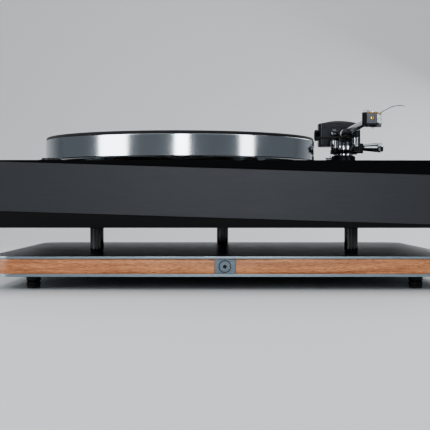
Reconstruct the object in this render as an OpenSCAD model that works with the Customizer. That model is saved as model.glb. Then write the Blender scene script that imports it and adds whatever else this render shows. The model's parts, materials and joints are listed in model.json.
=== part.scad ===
// Two-tier belt-drive record player.
// Millimetres, +Z up, +X to the right, +Y to the back.
// The origin is on the surface it stands on, under the middle of the upper plinth.

/* [Lower tier] */
// Width of the lower tier
base_w = 480; // [400:1:580]
// Depth of the lower tier
base_d = 370; // [310:1:440]
// Corner radius of the lower tier
base_corner = 25; // [12:1:40]
// Thickness of its metal plates
base_plate_t = 3; // [2:0.1:5]
// Height of the wooden frame between the plates
wood_h = 14.8; // [10:0.1:24]
// Width of the wooden frame's rails
wood_rail = 26; // [20:1:40]
// Height of a foot, pad included
foot_h = 13.7; // [10:0.1:20]
// Diameter of a foot
foot_d = 15; // [12:0.5:22]
// Distance of the feet from the tier's sides
foot_inset_x = 42; // [30:1:60]
// Distance of the feet from the tier's front and back
foot_inset_y = 33; // [26:1:50]

/* [Pillars] */
// Open height between the two tiers
tier_gap = 28.7; // [20:0.1:45]
// Diameter of a pillar
pillar_d = 15; // [12:0.5:20]
// Distance of the front pillars from the centre line
pillar_x = 139.5; // [110:0.5:170]
// Distance of the front pillars behind the plinth's front
pillar_front_y = 110; // [90:1:135]
// Distance of the rear pillar behind the plinth's front
pillar_rear_y = 330; // [280:1:350]

/* [Upper plinth] */
// Width of the plinth
plinth_w = 490; // [405:1:590]
// Depth of the plinth
plinth_d = 400; // [370:1:480]
// Height of the plinth
plinth_h = 67.4; // [56:0.1:82]
// Thickness of its deck
deck_t = 14; // [11:0.5:18]
// Thickness of its walls
wall_t = 16; // [13:0.5:20]
// Radius of its upright corners
plinth_corner = 5; // [2:0.5:8]
// Height of the slanted fascia band
band_h = 49.5; // [40:0.5:52]
// Slope of the band, down to the right, in degrees
band_slope = 1.775; // [0:0.05:2.2]
// Height of the upper bevel at the plinth's middle
bevel_mid = 8.2; // [7.5:0.1:9]
// Lean of the bevels from upright, in degrees
bevel_lean = 24; // [10:1:30]
// Thickness of the fascia panel
fascia_t = 3; // [1.5:0.5:4]
// Thickness of the bottom cover
cover_t = 3; // [2:0.5:4]

/* [Platter and bearing] */
// Place of the spindle, left of the centre line
spindle_left = 50; // [30:1:60]
// Distance of the spindle behind the plinth's front
spindle_back = 180; // [165:1:200]
// Platter diameter
platter_d = 310; // [290:1:372]
// Platter thickness
platter_t = 22.8; // [19:0.1:28]
// Gap between the deck and the platter
platter_gap = 5.3; // [4.5:0.1:8]
// Thickness of the platter's web
platter_web = 7.8; // [6:0.1:9.5]
// Mat thickness
mat_t = 3.4; // [1.5:0.1:5]
// Sub-platter diameter, where the belt runs
sub_d = 140; // [116:1:170]
// Record spindle diameter
spindle_d = 7.2; // [7.05:0.01:7.24]
// Height of the spindle above the mat
spindle_up = 10.8; // [8:0.1:14]
// Bearing shaft diameter
shaft_d = 10; // [8:0.1:12]
// Length of the bearing shaft below the sub-platter
shaft_len = 58; // [50:0.5:64]

/* [Drive] */
// Pulley diameter for 33 1/3 turns a minute
pulley_slow_d = 18.67; // [15:0.01:22.5]
// Pulley diameter for 45 turns a minute
pulley_fast_d = 25.2; // [20:0.1:30]
// Distance from the spindle to the motor
motor_reach = 105; // [98:1:112]
// Direction of the motor from the spindle, in degrees
motor_angle = 135; // [120:1:150]
// Motor diameter
motor_d = 50; // [40:1:60]
// Motor height
motor_h = 28; // [22:1:34]
// Belt thickness
belt_t = 0.8; // [0.5:0.1:1.2]
// Belt height
belt_h = 3; // [2:0.1:4]

/* [Tonearm] */
// Effective length, from pivot to stylus
arm_len = 239; // [225:1:250]
// Overhang of the stylus past the spindle
overhang = 16; // [14:0.5:19]
// Direction of the arm's pivot from the spindle, in degrees
pivot_angle = 25.2; // [22:0.1:28]
// Offset angle of the cartridge, in degrees
offset_angle = 22.5; // [20:0.5:25]
// Height of the tube's axis above the stylus tip
arm_rise = 10.9; // [10:0.1:12]
// Height of the stylus above the mat, as on a record
stylus_clear = 1.5; // [1.2:0.1:2.5]
// Diameter of the tube at the pivot
tube_rear_d = 9.6; // [8:0.1:11]
// Diameter of the tube at the headshell
tube_front_d = 7.2; // [6:0.1:8.6]
// Wall of the tube
tube_wall = 0.9; // [0.6:0.1:1.4]
// Diameter of the arm's pillar below its head
column_d = 20; // [18:0.5:23]
// Diameter of the pillar's head
head_d = 25; // [23:0.5:28]
// Width of the counterweight
weight_w = 54; // [45:1:62]
// Height of the counterweight at its sides
weight_h = 30; // [26:1:34]
// Length of the counterweight along the arm
weight_len = 26; // [22:1:30]
// Distance of the counterweight's middle behind the pivot
weight_back = 47; // [44:0.5:52]
// Diameter of the counterweight's shaft
weight_shaft_d = 8; // [7:0.1:9.6]
// Distance of the lift rail from the pivot
lift_reach = 45; // [42:0.5:48]
// Distance of the arm rest in front of the pivot
rest_reach = 62; // [58:1:68]

/* [Cartridge] */
// Width of the cartridge
cart_w = 11.2; // [9.5:0.1:13.4]
// Length of the cartridge
cart_len = 17.5; // [15:0.1:20]
// Height of the cartridge's body above the stylus tip
cart_up = 3; // [2.6:0.1:3.4]

/* [Controls and sockets] */
// Diameter of the power button
button_d = 20; // [17:0.5:24]
// Height of the button above the deck
button_up = 3.2; // [3:0.1:4]
// Distance of the button from the plinth's left side
button_in_x = 68; // [60:1:80]
// Distance of the button from the plinth's front
button_in_y = 32; // [30:1:40]
// Width of the socket panel's window
window_w = 130; // [110:1:150]
// Height of the socket panel's window
window_h = 26; // [22:0.5:30]
// Distance of the window's middle right of the centre line
window_x = 60; // [40:1:80]
// Diameter of a signal socket's shell
socket_d = 8.3; // [8:0.1:8.6]
// Diameter of the low-voltage inlet's bore
inlet_d = 5.5; // [5.4:0.1:6.4]

/* [Clearances] */
// Radial clearance of a shaft in its bush
fit_gap = 0.05; // [0.03:0.01:0.08]
// Gap between neighbours that move
move_gap = 0.5; // [0.4:0.05:0.8]

/* [Hidden] */
$fn = 72;
e = 0.02;
pad_t = 3;
groove = 0.5;
badge_w = 21;
badge_h = 14.4;
badge_ring_r = 6.3;
lift_steps = 12;

// Heights of the lower tier
base_z = foot_h;
wood_z = base_z + base_plate_t;
base_top_z = wood_z + wood_h;
base_top = base_top_z + base_plate_t;
// Heights of the upper plinth
plinth_z = base_top + tier_gap;
plinth_top = plinth_z + plinth_h;
deck_z = plinth_top - deck_t;
cover_top = plinth_z + cover_t;
front = -plinth_d / 2;
back = plinth_d / 2;
// Heights of the platter
platter_z = plinth_top + platter_gap;
platter_top = platter_z + platter_t;
web_z = platter_top - platter_web;
mat_top = platter_top + mat_t;
sub_t = 10;
sub_z = web_z - sub_t;
shaft_z = sub_z - shaft_len;
spindle = [-spindle_left, front + spindle_back];
motor = spindle + motor_reach * [cos(motor_angle), sin(motor_angle)];
platter_rim = 17;
label_r = 51;
label_deep = 0.7;
seat_r = spindle_d / 2 + 0.6;
mat_bore_r = seat_r + 0.4;
seat_top = mat_top - label_deep + 0.3;
// Bearing
ball_r = 3;
bush_wall = 3;
bush_len = 14;
housing_r = shaft_d / 2 + bush_wall + 5;
housing_flange_r = housing_r + 14;
housing_flange_t = 4.5;
ball_z = shaft_z - 0.1 - ball_r;
housing_z = ball_z - ball_r - 2;
// Motor
mount_t = 4;
motor_z = deck_z - mount_t - motor_h;
motor_shaft_r = 1.6;
pulley_z = sub_z + 0.4;
pulley_step = 4.6;
pulley_hub = 1.2;
pulley_gap = 2.4;
belt_gap = 0.3;
// Tonearm
pivot = spindle + (arm_len - overhang) * [cos(pivot_angle), sin(pivot_angle)];
tip_z = mat_top + stylus_clear;
arm_z = tip_z + arm_rise;
tip = [pivot[0], pivot[1] - arm_len];
board_r = 40;
board_flange_r = board_r + 6;
board_flange_t = 3;
collar_z = plinth_top + board_flange_t;
collar_flange_r = column_d / 2 + 15;
collar_flange_t = 4;
collar_neck_r = column_d / 2 + 5;
head_bottom = arm_z - 27;
head_top = arm_z - 15;
collar_top = head_bottom - 0.6;
collar_screw_z = collar_top - 4;
collar_screw_r = 1.5;
column_z = collar_z - 38;
column_bore_r = column_d / 2 - 4;
pin_r = 3;
pin_len = 11;
hub_r = 7.6;
hub_half_w = 9.2;
hub_half_l = 10;
leg_in = hub_half_w + 0.7;
leg_t = 4.2;
leg_half_l = 5.5;
yoke_base_t = 4.6;
yoke_z = head_top + 0.6;
pivot_pin_r = 1.5;
pivot_screw_r = 2.5;
cart_axis = [sin(offset_angle), cos(offset_angle)];
stylus_back = 6.5;
cart_mid = tip + stylus_back * cart_axis;
plate_screws_y = [-4, 4];
plate_screw_r = 1.1;
cart_z = tip_z + cart_up;
cart_h = 13;
plate_z = cart_z + cart_h;
gold_t = 1.4;
cheek_t = 4.8;
cheek_len = 18;
cheek_z = arm_z - 7.4;
cheek_h = plate_z + gold_t - cheek_z;
socket_wall = 1.3;
socket_gap = 0.2;
socket_y = cart_mid[1] + cart_w / 2 * sin(offset_angle) + cart_len / 2 * cos(offset_angle)
    + socket_gap;
socket_len = 11;
tube_y0 = socket_y + 4;
tube_y1 = pivot[1] - hub_half_l + 3;
weight_y = pivot[1] + weight_back;
weight_z = arm_z + 1.6;
weight_dome = 4;
weight_shaft_end = pivot[1] + weight_back + weight_len / 2 + 11;
knob_r = 7.2;
knob_t = 4.5;
knob_pin_r = 2;
// Lift, lever and rest
function tube_r(y) = tube_rear_d / 2
    + (tube_front_d - tube_rear_d) / 2 * (tube_y1 - y) / (tube_y1 - tube_y0);
rail_t = 2.4;
rail_w = 5;
rail_top = arm_z - tube_rear_d / 2 - move_gap;
rail_from = -7;
rail_to = 56;
tower_angle = 20;
tower = pivot - lift_reach * [sin(tower_angle), cos(tower_angle)];
tower_r = 5;
post_r = 2.4;
bracket_z = head_bottom + 2.4;
bracket_t = 4;
tower_top = rail_top - rail_t - 2.5;
lever_y = pivot[1] - 12;
lever_z = bracket_z + bracket_t + 3.2;
lever_x = pivot[0] + 19;
lever_block_w = 7;
lever_pin_r = 2;
rest_r = 3.2;
rest_x = pivot[0] + tube_rear_d / 2 + move_gap + 2;
rest_y = pivot[1] - rest_reach;
dial = pivot + [15, 19];
dial_r = 7;
dial_pin_r = 2;
// Controls and sockets
button = [-plinth_w / 2 + button_in_x, front + button_in_y];
bezel_r = button_d / 2 + 3.5;
sleeve_r = button_d / 2 + 1.6;
button_travel = 2;
stem_r = 3;
button_t = 10;
board_t = 1.6;
board_w = 54;
board_d = 74;
board_z = deck_z - 14;
board_mid = [button[0] + 3, button[1] + 26];
switch_h = 10;
window_z = plinth_z + plinth_h * 0.52;
window_lip = 5;
panel_t = 2;
panel_y = back - wall_t - panel_t;
socket_reach = wall_t - 4;
socket_pitch = 20;
socket_at = window_x + window_w / 2 - 22;
ground_at = socket_at - 2 * socket_pitch;
inlet_at = window_x - window_w / 2 + 20;
inlet_r = 6;
socket_stem_r = 3;
// Fasteners and pillars
screw_r = 2;
board_screw_r = 1.5;
board_screw_head_r = 2.6;
board_screw_head_t = 1.6;
screw_head_r = 3.8;
stud_r = 3;
stud_hole_r = stud_r + e;
boss_r = 12;
washer_t = 2;
washer_r = pillar_d / 2 - 0.7;
pillars_at = [[-pillar_x, front + pillar_front_y], [pillar_x, front + pillar_front_y],
              [0, front + pillar_rear_y]];
feet_at = [for (x = [-1, 1], y = [-1, 1])
    [x * (base_w / 2 - foot_inset_x), y * (base_d / 2 - foot_inset_y)]];
base_screws_at = [for (x = [-1, 0, 1], y = [-1, 1])
    [x * (base_w / 2 - wood_rail / 2 - 40), y * (base_d / 2 - wood_rail / 2)]];
cover_post_r = 8;
cover_screws_at = [for (x = [-1, 1], y = [-1, 1])
    [x * (plinth_w / 2 - wall_t - 5), y * (plinth_d / 2 - wall_t - 5)]];
board_screws_at = [for (a = [90, 210, 330])
    pivot + (board_r + 3.2) * [cos(a), sin(a)]];

// ---- Shapes that repeat ----

module round_rect(w, d, r) {
    square([w - 2 * r, d], center = true);
    square([w, d - 2 * r], center = true);
    for (x = [-1, 1], y = [-1, 1])
        translate([x * (w / 2 - r), y * (d / 2 - r)]) circle(r);
}

module slab(w, d, r, z, h) {
    translate([0, 0, z]) linear_extrude(h) round_rect(w, d, r);
}

module rod(at, z, r, h) {
    translate([at[0], at[1], z]) cylinder(r = r, h = h);
}

module ring(at, z, r, bore_r, h) {
    difference() {
        rod(at, z, r, h);
        rod(at, z - 1, bore_r, h + 2);
    }
}

// A turned piece: a disc with a small chamfer on its upper edge
module turned(at, z, r, h, c = 0.6) {
    translate([at[0], at[1], z]) rotate_extrude()
        polygon([[0, 0], [r, 0], [r, h - c], [r - c, h], [0, h]]);
}

// A rod along X or Y from a point
module rod_x(p, r, len) {
    translate(p) rotate([0, 90, 0]) cylinder(r = r, h = len);
}

module rod_y(p, r, len) {
    translate(p) rotate([-90, 0, 0]) cylinder(r = r, h = len);
}

// A countersunk screw with a hexagon socket, its head's face down at z
module screw_up(at, z, len) {
    translate([at[0], at[1], z]) difference() {
        union() {
            cylinder(r1 = screw_head_r, r2 = screw_r, h = 2);
            cylinder(r = screw_r, h = len);
        }
        translate([0, 0, -e]) cylinder(r = 1.4, h = 1.4, $fn = 6);
    }
}

// The countersunk hole such a screw fills
module screw_hole(at, z, len) {
    translate([at[0], at[1], z]) {
        cylinder(r1 = screw_head_r, r2 = screw_r, h = 2);
        translate([0, 0, -1]) cylinder(r = screw_r, h = len + 1);
    }
}

// A round wire through a list of points
module wire(points, r) {
    for (i = [0 : len(points) - 2]) {
        v = points[i + 1] - points[i];
        translate(points[i]) rotate([0, acos(v[2] / norm(v)), atan2(v[1], v[0])])
            cylinder(r = r, h = norm(v), $fn = 8);
    }
    for (i = [1 : len(points) - 2]) translate(points[i]) sphere(r + 0.3, $fn = 8);
}

// ---- Lower tier ----

module foot_pads() {
    color("#101112") for (p = feet_at) rod(p, 0, foot_d / 2 - 0.8, pad_t);
}

module feet() {
    color("#1a1b1d") for (p = feet_at) turned(p, pad_t, foot_d / 2, base_z - pad_t, 0.5);
}

module base_bottom_plate() {
    color("#6a747b") difference() {
        slab(base_w, base_d, base_corner, base_z, base_plate_t);
        for (p = base_screws_at) screw_hole(p, base_z, base_plate_t + 1);
    }
}

module wood_frame() {
    inner = max(base_corner - wood_rail, 2);
    color("#9a6a4c") difference() {
        slab(base_w - 2 * groove, base_d - 2 * groove, base_corner - groove, wood_z, wood_h);
        slab(base_w - 2 * wood_rail, base_d - 2 * wood_rail, inner, wood_z - 1, wood_h + 2);
        for (p = base_screws_at) rod(p, wood_z - 1, screw_r, 11);
    }
}

module base_core() {
    inner = max(base_corner - wood_rail, 2);
    w = base_w - 2 * wood_rail;
    d = base_d - 2 * wood_rail;
    color("#3a3128") difference() {
        slab(w, d, inner, wood_z, wood_h);
        for (p = pillars_at) rod(p, base_top_z - 9, stud_hole_r, 10);
    }
}

module base_top_plate() {
    color("#6a747b") difference() {
        slab(base_w, base_d, base_corner, base_top_z, base_plate_t);
        for (p = pillars_at) rod(p, base_top_z - 1, stud_hole_r, base_plate_t + 2);
    }
}

module badge() {
    y = -base_d / 2 + groove;
    z = wood_z + wood_h / 2;
    color("#7d8a92") translate([0, y, z]) rotate([90, 0, 0]) difference() {
        linear_extrude(1.5) round_rect(badge_w, badge_h, 1);
        translate([0, 0, 1.2]) linear_extrude(1) difference() {
            circle(badge_ring_r);
            circle(badge_ring_r - 0.8);
        }
    }
}

module case_screws() {
    color("#222326") {
        for (p = base_screws_at) screw_up(p, base_z, base_plate_t + 9);
        for (p = cover_screws_at) screw_up(p, plinth_z, cover_t + 10);
    }
}

// ---- Pillars ----

module pillars() {
    h = tier_gap - 2 * washer_t;
    color("#0c0c0e") for (p = pillars_at) translate([p[0], p[1], base_top + washer_t])
        rotate_extrude() polygon([[stud_hole_r, 0], [pillar_d / 2 - 0.5, 0], [pillar_d / 2, 0.5],
            [pillar_d / 2, h - 0.5], [pillar_d / 2 - 0.5, h], [stud_hole_r, h]]);
}

module pillar_washers() {
    color("#161616") for (p = pillars_at, z = [base_top, plinth_z - washer_t])
        ring(p, z, washer_r, stud_hole_r, washer_t);
}

module pillar_studs() {
    color("#8a8d90") for (p = pillars_at)
        rod(p, base_top_z - 8, stud_r, 8 + base_plate_t + tier_gap + cover_t + 16);
}

// ---- Upper plinth ----

// The half-space beyond a sloped line on the front, leaning back by the bevel's angle
module bevel(z, side) {
    big = plinth_w * 1.4;
    translate([0, front, z]) rotate([0, band_slope, 0]) rotate([side * bevel_lean, 0, 0])
        translate([-big / 2, -60, side > 0 ? -40 : -80]) cube([big, 60, 120]);
}

module band_outline(grow) {
    translate([0, front + fascia_t, plinth_top - bevel_mid]) rotate([0, band_slope, 0])
        translate([-plinth_w, -fascia_t - grow, -band_h]) cube([2 * plinth_w, fascia_t + grow, band_h]);
}

module plinth_body() {
    low = plinth_top - bevel_mid - band_h;
    iw = plinth_w - 2 * wall_t;
    id = plinth_d - 2 * wall_t;
    color("#0b0b0d") difference() {
        slab(plinth_w, plinth_d, plinth_corner, plinth_z, plinth_h);
        bevel(plinth_top - bevel_mid, -1);
        bevel(low, 1);
        intersection() {
            band_outline(1);
            slab(plinth_w - 2 * plinth_corner, 2 * plinth_d, 1, plinth_z, plinth_h);
        }
        difference() {
            slab(iw, id, 2, plinth_z - 1, plinth_h - deck_t + 1);
            for (p = pillars_at) rod(p, cover_top, boss_r, plinth_h);
            for (p = cover_screws_at) rod(p, cover_top, cover_post_r, plinth_h);
            for (x = [-1, 1], y = [-1, 1])
                rod(board_mid + [x * (board_w / 2 - 5), y * (board_d / 2 - 5)],
                    board_z + board_t, 3, deck_z);
        }
        for (p = pillars_at) rod(p, cover_top - 1, stud_hole_r, 17);
        for (p = cover_screws_at) rod(p, cover_top - 1, screw_r, 12);
        rod(spindle, deck_z - 1, housing_r, deck_t + 2);
        rod(motor, deck_z - 1, pulley_fast_d / 2 + pulley_gap, deck_t + 2);
        rod(pivot, deck_z - 1, board_r, deck_t + 2);
        rod(button, deck_z - 1, sleeve_r, deck_t + 2);
        for (p = board_screws_at) rod(p, plinth_top - 9, board_screw_r, 10);
        translate([window_x - window_w / 2, back - wall_t - 1, window_z - window_h / 2])
            cube([window_w, wall_t + 2, window_h]);
    }
}

module front_fascia() {
    color("#3b4148") intersection() {
        band_outline(0);
        slab(plinth_w - 2 * plinth_corner, 2 * plinth_d, 1, plinth_z, plinth_h);
    }
}

module bottom_cover() {
    g = 0.3;
    color("#1b1c1e") difference() {
        slab(plinth_w - 2 * wall_t - 2 * g, plinth_d - 2 * wall_t - 2 * g, 2, plinth_z, cover_t);
        for (p = pillars_at) rod(p, plinth_z - 1, stud_hole_r, cover_t + 2);
        for (p = cover_screws_at) screw_hole(p, plinth_z, cover_t + 1);
    }
}

module armboard() {
    color("#17181a") difference() {
        union() {
            rod(pivot, deck_z, board_r, deck_t);
            turned(pivot, plinth_top, board_flange_r, board_flange_t, 0.8);
        }
        rod(pivot, deck_z - 1, column_d / 2 + 2, deck_t + board_flange_t + 2);
        for (p = board_screws_at) {
            rod(p, plinth_top - 1, board_screw_r, board_flange_t + 2);
            rod(p, collar_z - board_screw_head_t, board_screw_head_r, 3);
        }
    }
}

module armboard_screws() {
    color("#8a8d90") for (p = board_screws_at) difference() {
        union() {
            rod(p, plinth_top - 8, board_screw_r, 8 + board_flange_t - board_screw_head_t);
            rod(p, collar_z - board_screw_head_t, board_screw_head_r, board_screw_head_t - 0.1);
        }
        translate([p[0], p[1], collar_z - 1]) cylinder(r = 1.2, h = 2, $fn = 6);
    }
}

// ---- Back panel and what is wired inside ----

module socket_panel() {
    bottom = window_z - window_h / 2 - window_lip;
    top = min(window_z + window_h / 2 + window_lip, deck_z - 0.3);
    color("#24262a") difference() {
        translate([window_x - window_w / 2 - window_lip, panel_y, bottom])
            cube([window_w + 2 * window_lip, panel_t, top - bottom]);
        for (x = [socket_at, socket_at - socket_pitch, ground_at, inlet_at])
            rod_y([x, panel_y - 1, window_z], (x == inlet_at ? inlet_r : socket_stem_r) + e, panel_t + 2);
    }
}

module power_inlet() {
    color("#101012") difference() {
        union() {
            rod_y([inlet_at, panel_y - 9, window_z], inlet_r, 9 + panel_t);
            rod_y([inlet_at, panel_y + panel_t, window_z], 7.5, 2.5);
        }
        rod_y([inlet_at, panel_y - 6, window_z], inlet_d / 2, 20);
    }
}

module signal_sockets() {
    color("#c9a24a") for (x = [socket_at, socket_at - socket_pitch]) difference() {
        union() {
            rod_y([x, panel_y - 8, window_z], socket_stem_r, 8 + panel_t);
            rod_y([x, panel_y + panel_t, window_z], 6, 2);
            rod_y([x, panel_y + panel_t, window_z], socket_d / 2, socket_reach);
        }
        rod_y([x, panel_y + panel_t + 3, window_z], 1.6, socket_reach);
    }
}

module ground_terminal() {
    color("#b7bbbf") {
        rod_y([ground_at, panel_y - 6, window_z], socket_stem_r, 6 + panel_t);
        rod_y([ground_at, panel_y + panel_t, window_z], 2, 11);
        rod_y([ground_at, panel_y + panel_t + 3, window_z], 5, 5);
    }
}

module inner_leads() {
    low = cover_top + 6;
    y = panel_y - 8;
    color("#2a2a2a") {
        wire([[pivot[0], pivot[1], column_z + 16], [pivot[0], pivot[1], low + 6],
            [pivot[0] - 8, pivot[1] + 12, low], [socket_at, y - 26, low],
            [socket_at, y - 14, window_z], [socket_at, y, window_z]], 1.8);
        wire([[inlet_at, y - 1, window_z], [inlet_at, y - 12, window_z],
            [inlet_at - 20, y - 30, low], [-plinth_w / 2 + wall_t + 8, motor[1] + 60, low],
            [-plinth_w / 2 + wall_t + 8, motor[1] - 60, low],
            [board_mid[0], board_mid[1] + board_d / 2 + 8, low],
            [board_mid[0], board_mid[1] + board_d / 2 - 8, board_z - 4],
            [board_mid[0], board_mid[1] + board_d / 2 - 8, board_z]], 1.8);
    }
}

module control_board() {
    color("#1f5a3a") translate([board_mid[0] - board_w / 2, board_mid[1] - board_d / 2, board_z])
        cube([board_w, board_d, board_t]);
}

module switch_block() {
    z = board_z + board_t;
    color("#d0d0c8") {
        translate([button[0] - 7, button[1] - 7, z]) cube([14, 14, switch_h - 3]);
        rod(button, z + switch_h - 3, 2.2, 0.6);
    }
}

module button_bezel() {
    color("#141416") difference() {
        union() {
            rod(button, deck_z + 4, sleeve_r, deck_t - 4);
            turned(button, plinth_top, bezel_r, 1.4, 0.6);
        }
        rod(button, deck_z, button_d / 2 + 0.3, deck_t + 6);
    }
}

module power_button() {
    top = plinth_top + button_up;
    stem = board_z + board_t + switch_h - 2.4 + button_travel + 0.6;
    color("#0e0e10") {
        turned(button, top - button_t, button_d / 2, button_t, 0.8);
        rod(button, stem, stem_r, top - button_t - stem);
    }
}

// ---- Motor and belt ----

module motor_mount() {
    color("#2c2c2c") ring(motor, deck_z - mount_t, motor_d / 2 + 6, pulley_fast_d / 2 - 1, mount_t);
}

module motor_can() {
    color("#8d9094") difference() {
        union() {
            turned(motor, motor_z, motor_d / 2, motor_h, 1);
            rod(motor, motor_z + motor_h, 5, mount_t);
        }
        rod(motor, motor_z + 6, motor_shaft_r + fit_gap, motor_h + mount_t);
    }
}

module motor_shaft() {
    color("#c8cacc") rod(motor, motor_z + 8, motor_shaft_r, pulley_z + 2 * pulley_step - motor_z - 8);
}

module motor_pulley() {
    rs = pulley_slow_d / 2;
    rf = pulley_fast_d / 2;
    z1 = pulley_hub + pulley_step;
    color("#b9a06a") translate([motor[0], motor[1], pulley_z - pulley_hub]) rotate_extrude()
        polygon([[motor_shaft_r, 0], [rs + 1.2, 0], [rs + 1.2, 0.6], [rs, pulley_hub],
            [rs, z1], [rf, z1 + 0.3], [rf, z1 + 3.4], [motor_shaft_r, z1 + 3.4]]);
}

module belt_loop(grow) {
    hull() {
        translate(spindle) circle(sub_d / 2 + grow, $fn = 120);
        translate(motor) circle(pulley_slow_d / 2 + grow, $fn = 48);
    }
}

module drive_belt() {
    color("#111111") translate([0, 0, pulley_z + 0.8]) linear_extrude(belt_h) difference() {
        belt_loop(belt_gap + belt_t);
        belt_loop(belt_gap);
    }
}

// ---- Bearing and platter ----

module bearing_housing() {
    bush_r = shaft_d / 2 + bush_wall;
    color("#9aa0a5") difference() {
        union() {
            rod(spindle, housing_z, housing_r, plinth_top - housing_z);
            turned(spindle, plinth_top, housing_flange_r, housing_flange_t, 0.8);
        }
        rod(spindle, housing_z - 1, bush_r, plinth_h * 2);
    }
}

module bearing_bushes() {
    top = plinth_top + housing_flange_t - 1;
    color("#b08a4a") for (z = [top - bush_len, shaft_z + 4])
        ring(spindle, z, shaft_d / 2 + bush_wall, shaft_d / 2 + fit_gap, bush_len);
}

module thrust_ball() {
    color("#d0d2d4") translate([spindle[0], spindle[1], ball_z]) sphere(ball_r);
}

module bearing_cap() {
    color("#85898d") difference() {
        union() {
            rod(spindle, housing_z, shaft_d / 2 + bush_wall - e, ball_z - ball_r - housing_z);
            rod(spindle, housing_z - 3, housing_r, 3);
        }
        translate([spindle[0], spindle[1], housing_z - 3 - e]) cylinder(r = 3, h = 2, $fn = 6);
    }
}

module spindle_shaft() {
    r = spindle_d / 2;
    top = mat_top + spindle_up;
    color("#d4d6d8") translate([spindle[0], spindle[1], 0]) rotate_extrude() polygon([
        [0, shaft_z], [shaft_d / 2 - 0.6, shaft_z], [shaft_d / 2, shaft_z + 0.6], [shaft_d / 2, web_z],
        [seat_r, web_z], [seat_r, seat_top], [r, seat_top], [r, top - 1.6], [r - 0.5, top - 0.7], [r - 1.6, top], [0, top]]);
}

module sub_platter() {
    r = sub_d / 2;
    color("#2b2d30") translate([spindle[0], spindle[1], sub_z]) rotate_extrude() polygon([
        [shaft_d / 2 + e, 0], [16, 0], [16, 1], [r - 12, 1], [r - 8, 0], [r - 0.6, 0], [r, 0.6],
        [r, sub_t - 0.6], [r - 0.6, sub_t], [shaft_d / 2 + e, sub_t]]);
}

module platter() {
    r = platter_d / 2;
    c = 0.8;
    w = platter_web;
    color("#b9bec2") translate([spindle[0], spindle[1], platter_z]) rotate_extrude($fn = 144)
        polygon([[seat_r + e, platter_t - w], [r - platter_rim, platter_t - w],
            [r - platter_rim, 0], [r - c, 0], [r, c], [r, platter_t - c], [r - c, platter_t],
            [seat_r + e, platter_t]]);
}

module platter_mat() {
    r = platter_d / 2;
    color("#131416") translate([spindle[0], spindle[1], platter_top]) rotate_extrude($fn = 144)
        polygon([[mat_bore_r, 0], [r - 0.6, 0], [r - 0.6, mat_t - 0.8], [r - 1.4, mat_t],
            [label_r, mat_t], [label_r, mat_t - label_deep], [mat_bore_r, mat_t - label_deep]]);
}

// ---- Tonearm base ----

module arm_collar() {
    color("#1c1d20") difference() {
        union() {
            turned(pivot, collar_z, collar_flange_r, collar_flange_t, 0.8);
            turned(pivot, collar_z + 1, collar_neck_r, collar_top - collar_z - 1, 0.8);
        }
        rod(pivot, collar_z - 1, column_d / 2 + fit_gap, collar_top);
        rod_x([pivot[0] - collar_neck_r - 2, pivot[1], collar_screw_z], collar_screw_r + e, collar_neck_r);
    }
}

module collar_screw() {
    x = pivot[0] - collar_neck_r;
    color("#9ea3a8") {
        rod_x([x - 7, pivot[1], collar_screw_z], 4, 6);
        rod_x([x - 1, pivot[1], collar_screw_z], collar_screw_r, 5);
    }
}

module arm_pillar() {
    color("#c3c7cb") difference() {
        union() {
            rod(pivot, column_z, column_d / 2, head_bottom - column_z);
            turned(pivot, head_bottom, head_d / 2, head_top - head_bottom, 0.6);
        }
        rod(pivot, column_z - 1, column_bore_r, head_bottom - column_z - 4);
        rod(pivot, head_top - pin_len - 1, pin_r + fit_gap, pin_len + 2);
    }
}

// An arm of the bracket, from the pillar's head to a post
module bracket_arm(to, w) {
    v = to - pivot;
    translate([pivot[0], pivot[1], bracket_z]) rotate([0, 0, atan2(v[1], v[0])])
        translate([0, -w / 2, 0]) cube([norm(v), w, bracket_t]);
}

module lift_bracket() {
    rest = [rest_x, rest_y];
    lever = [lever_x, lever_y];
    color("#202125") difference() {
        union() {
            rod(pivot, bracket_z - 0.5, head_d / 2 + 4, bracket_t + 1);
            bracket_arm(tower, 7);
            bracket_arm(rest, 6);
            bracket_arm(lever, 9);
            bracket_arm(dial, 8);
            rod(tower, bracket_z, tower_r, tower_top - bracket_z);
            rod(dial, bracket_z, 5.2, bracket_t + 1.7);
            rod(rest, bracket_z, 4.6, bracket_t + 1.5);
            translate([lever_x - lever_block_w / 2, lever_y - 5, bracket_z])
                cube([lever_block_w, 10, lever_z + 5 - bracket_z]);
        }
        rod(pivot, bracket_z - 1, head_d / 2 + e, bracket_t + 2);
        rod(tower, bracket_z - 1, post_r + fit_gap, tower_top);
        rod(dial, bracket_z - 1, dial_pin_r + fit_gap, bracket_t + 4);
        rod(rest, bracket_z - 1, rest_r + e, bracket_t + 4);
        rod_x([lever_x - lever_block_w, lever_y, lever_z], lever_pin_r + fit_gap, 2 * lever_block_w);
    }
}

module lift_rail() {
    z = rail_top - rail_t;
    color("#16171a") {
        translate([pivot[0], pivot[1], z]) rotate([0, 0, -90 - rail_to])
            rotate_extrude(angle = rail_to - rail_from)
                translate([lift_reach - rail_w / 2, 0]) square([rail_w, rail_t]);
        rod(tower, bracket_z - 3, post_r, z - bracket_z + 3);
    }
}

module cue_lever() {
    x = lever_x + lever_block_w / 2 + 0.4;
    color("#8f959b") {
        rod_x([lever_x - lever_block_w / 2, lever_y, lever_z], lever_pin_r, lever_block_w + 1);
        translate([x, lever_y, lever_z]) rotate([0, 90, 0]) cylinder(r1 = 4, r2 = 5.8, h = 18);
        rod_x([x + 18, lever_y, lever_z], 6.2, 4);
        rod_x([x + 22, lever_y, lever_z], 5.2, 3);
        rod_y([x + 20, lever_y - 24, lever_z], 1.3, 22);
        translate([x + 20, lever_y - 24, lever_z]) sphere(2.1, $fn = 32);
    }
}

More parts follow.
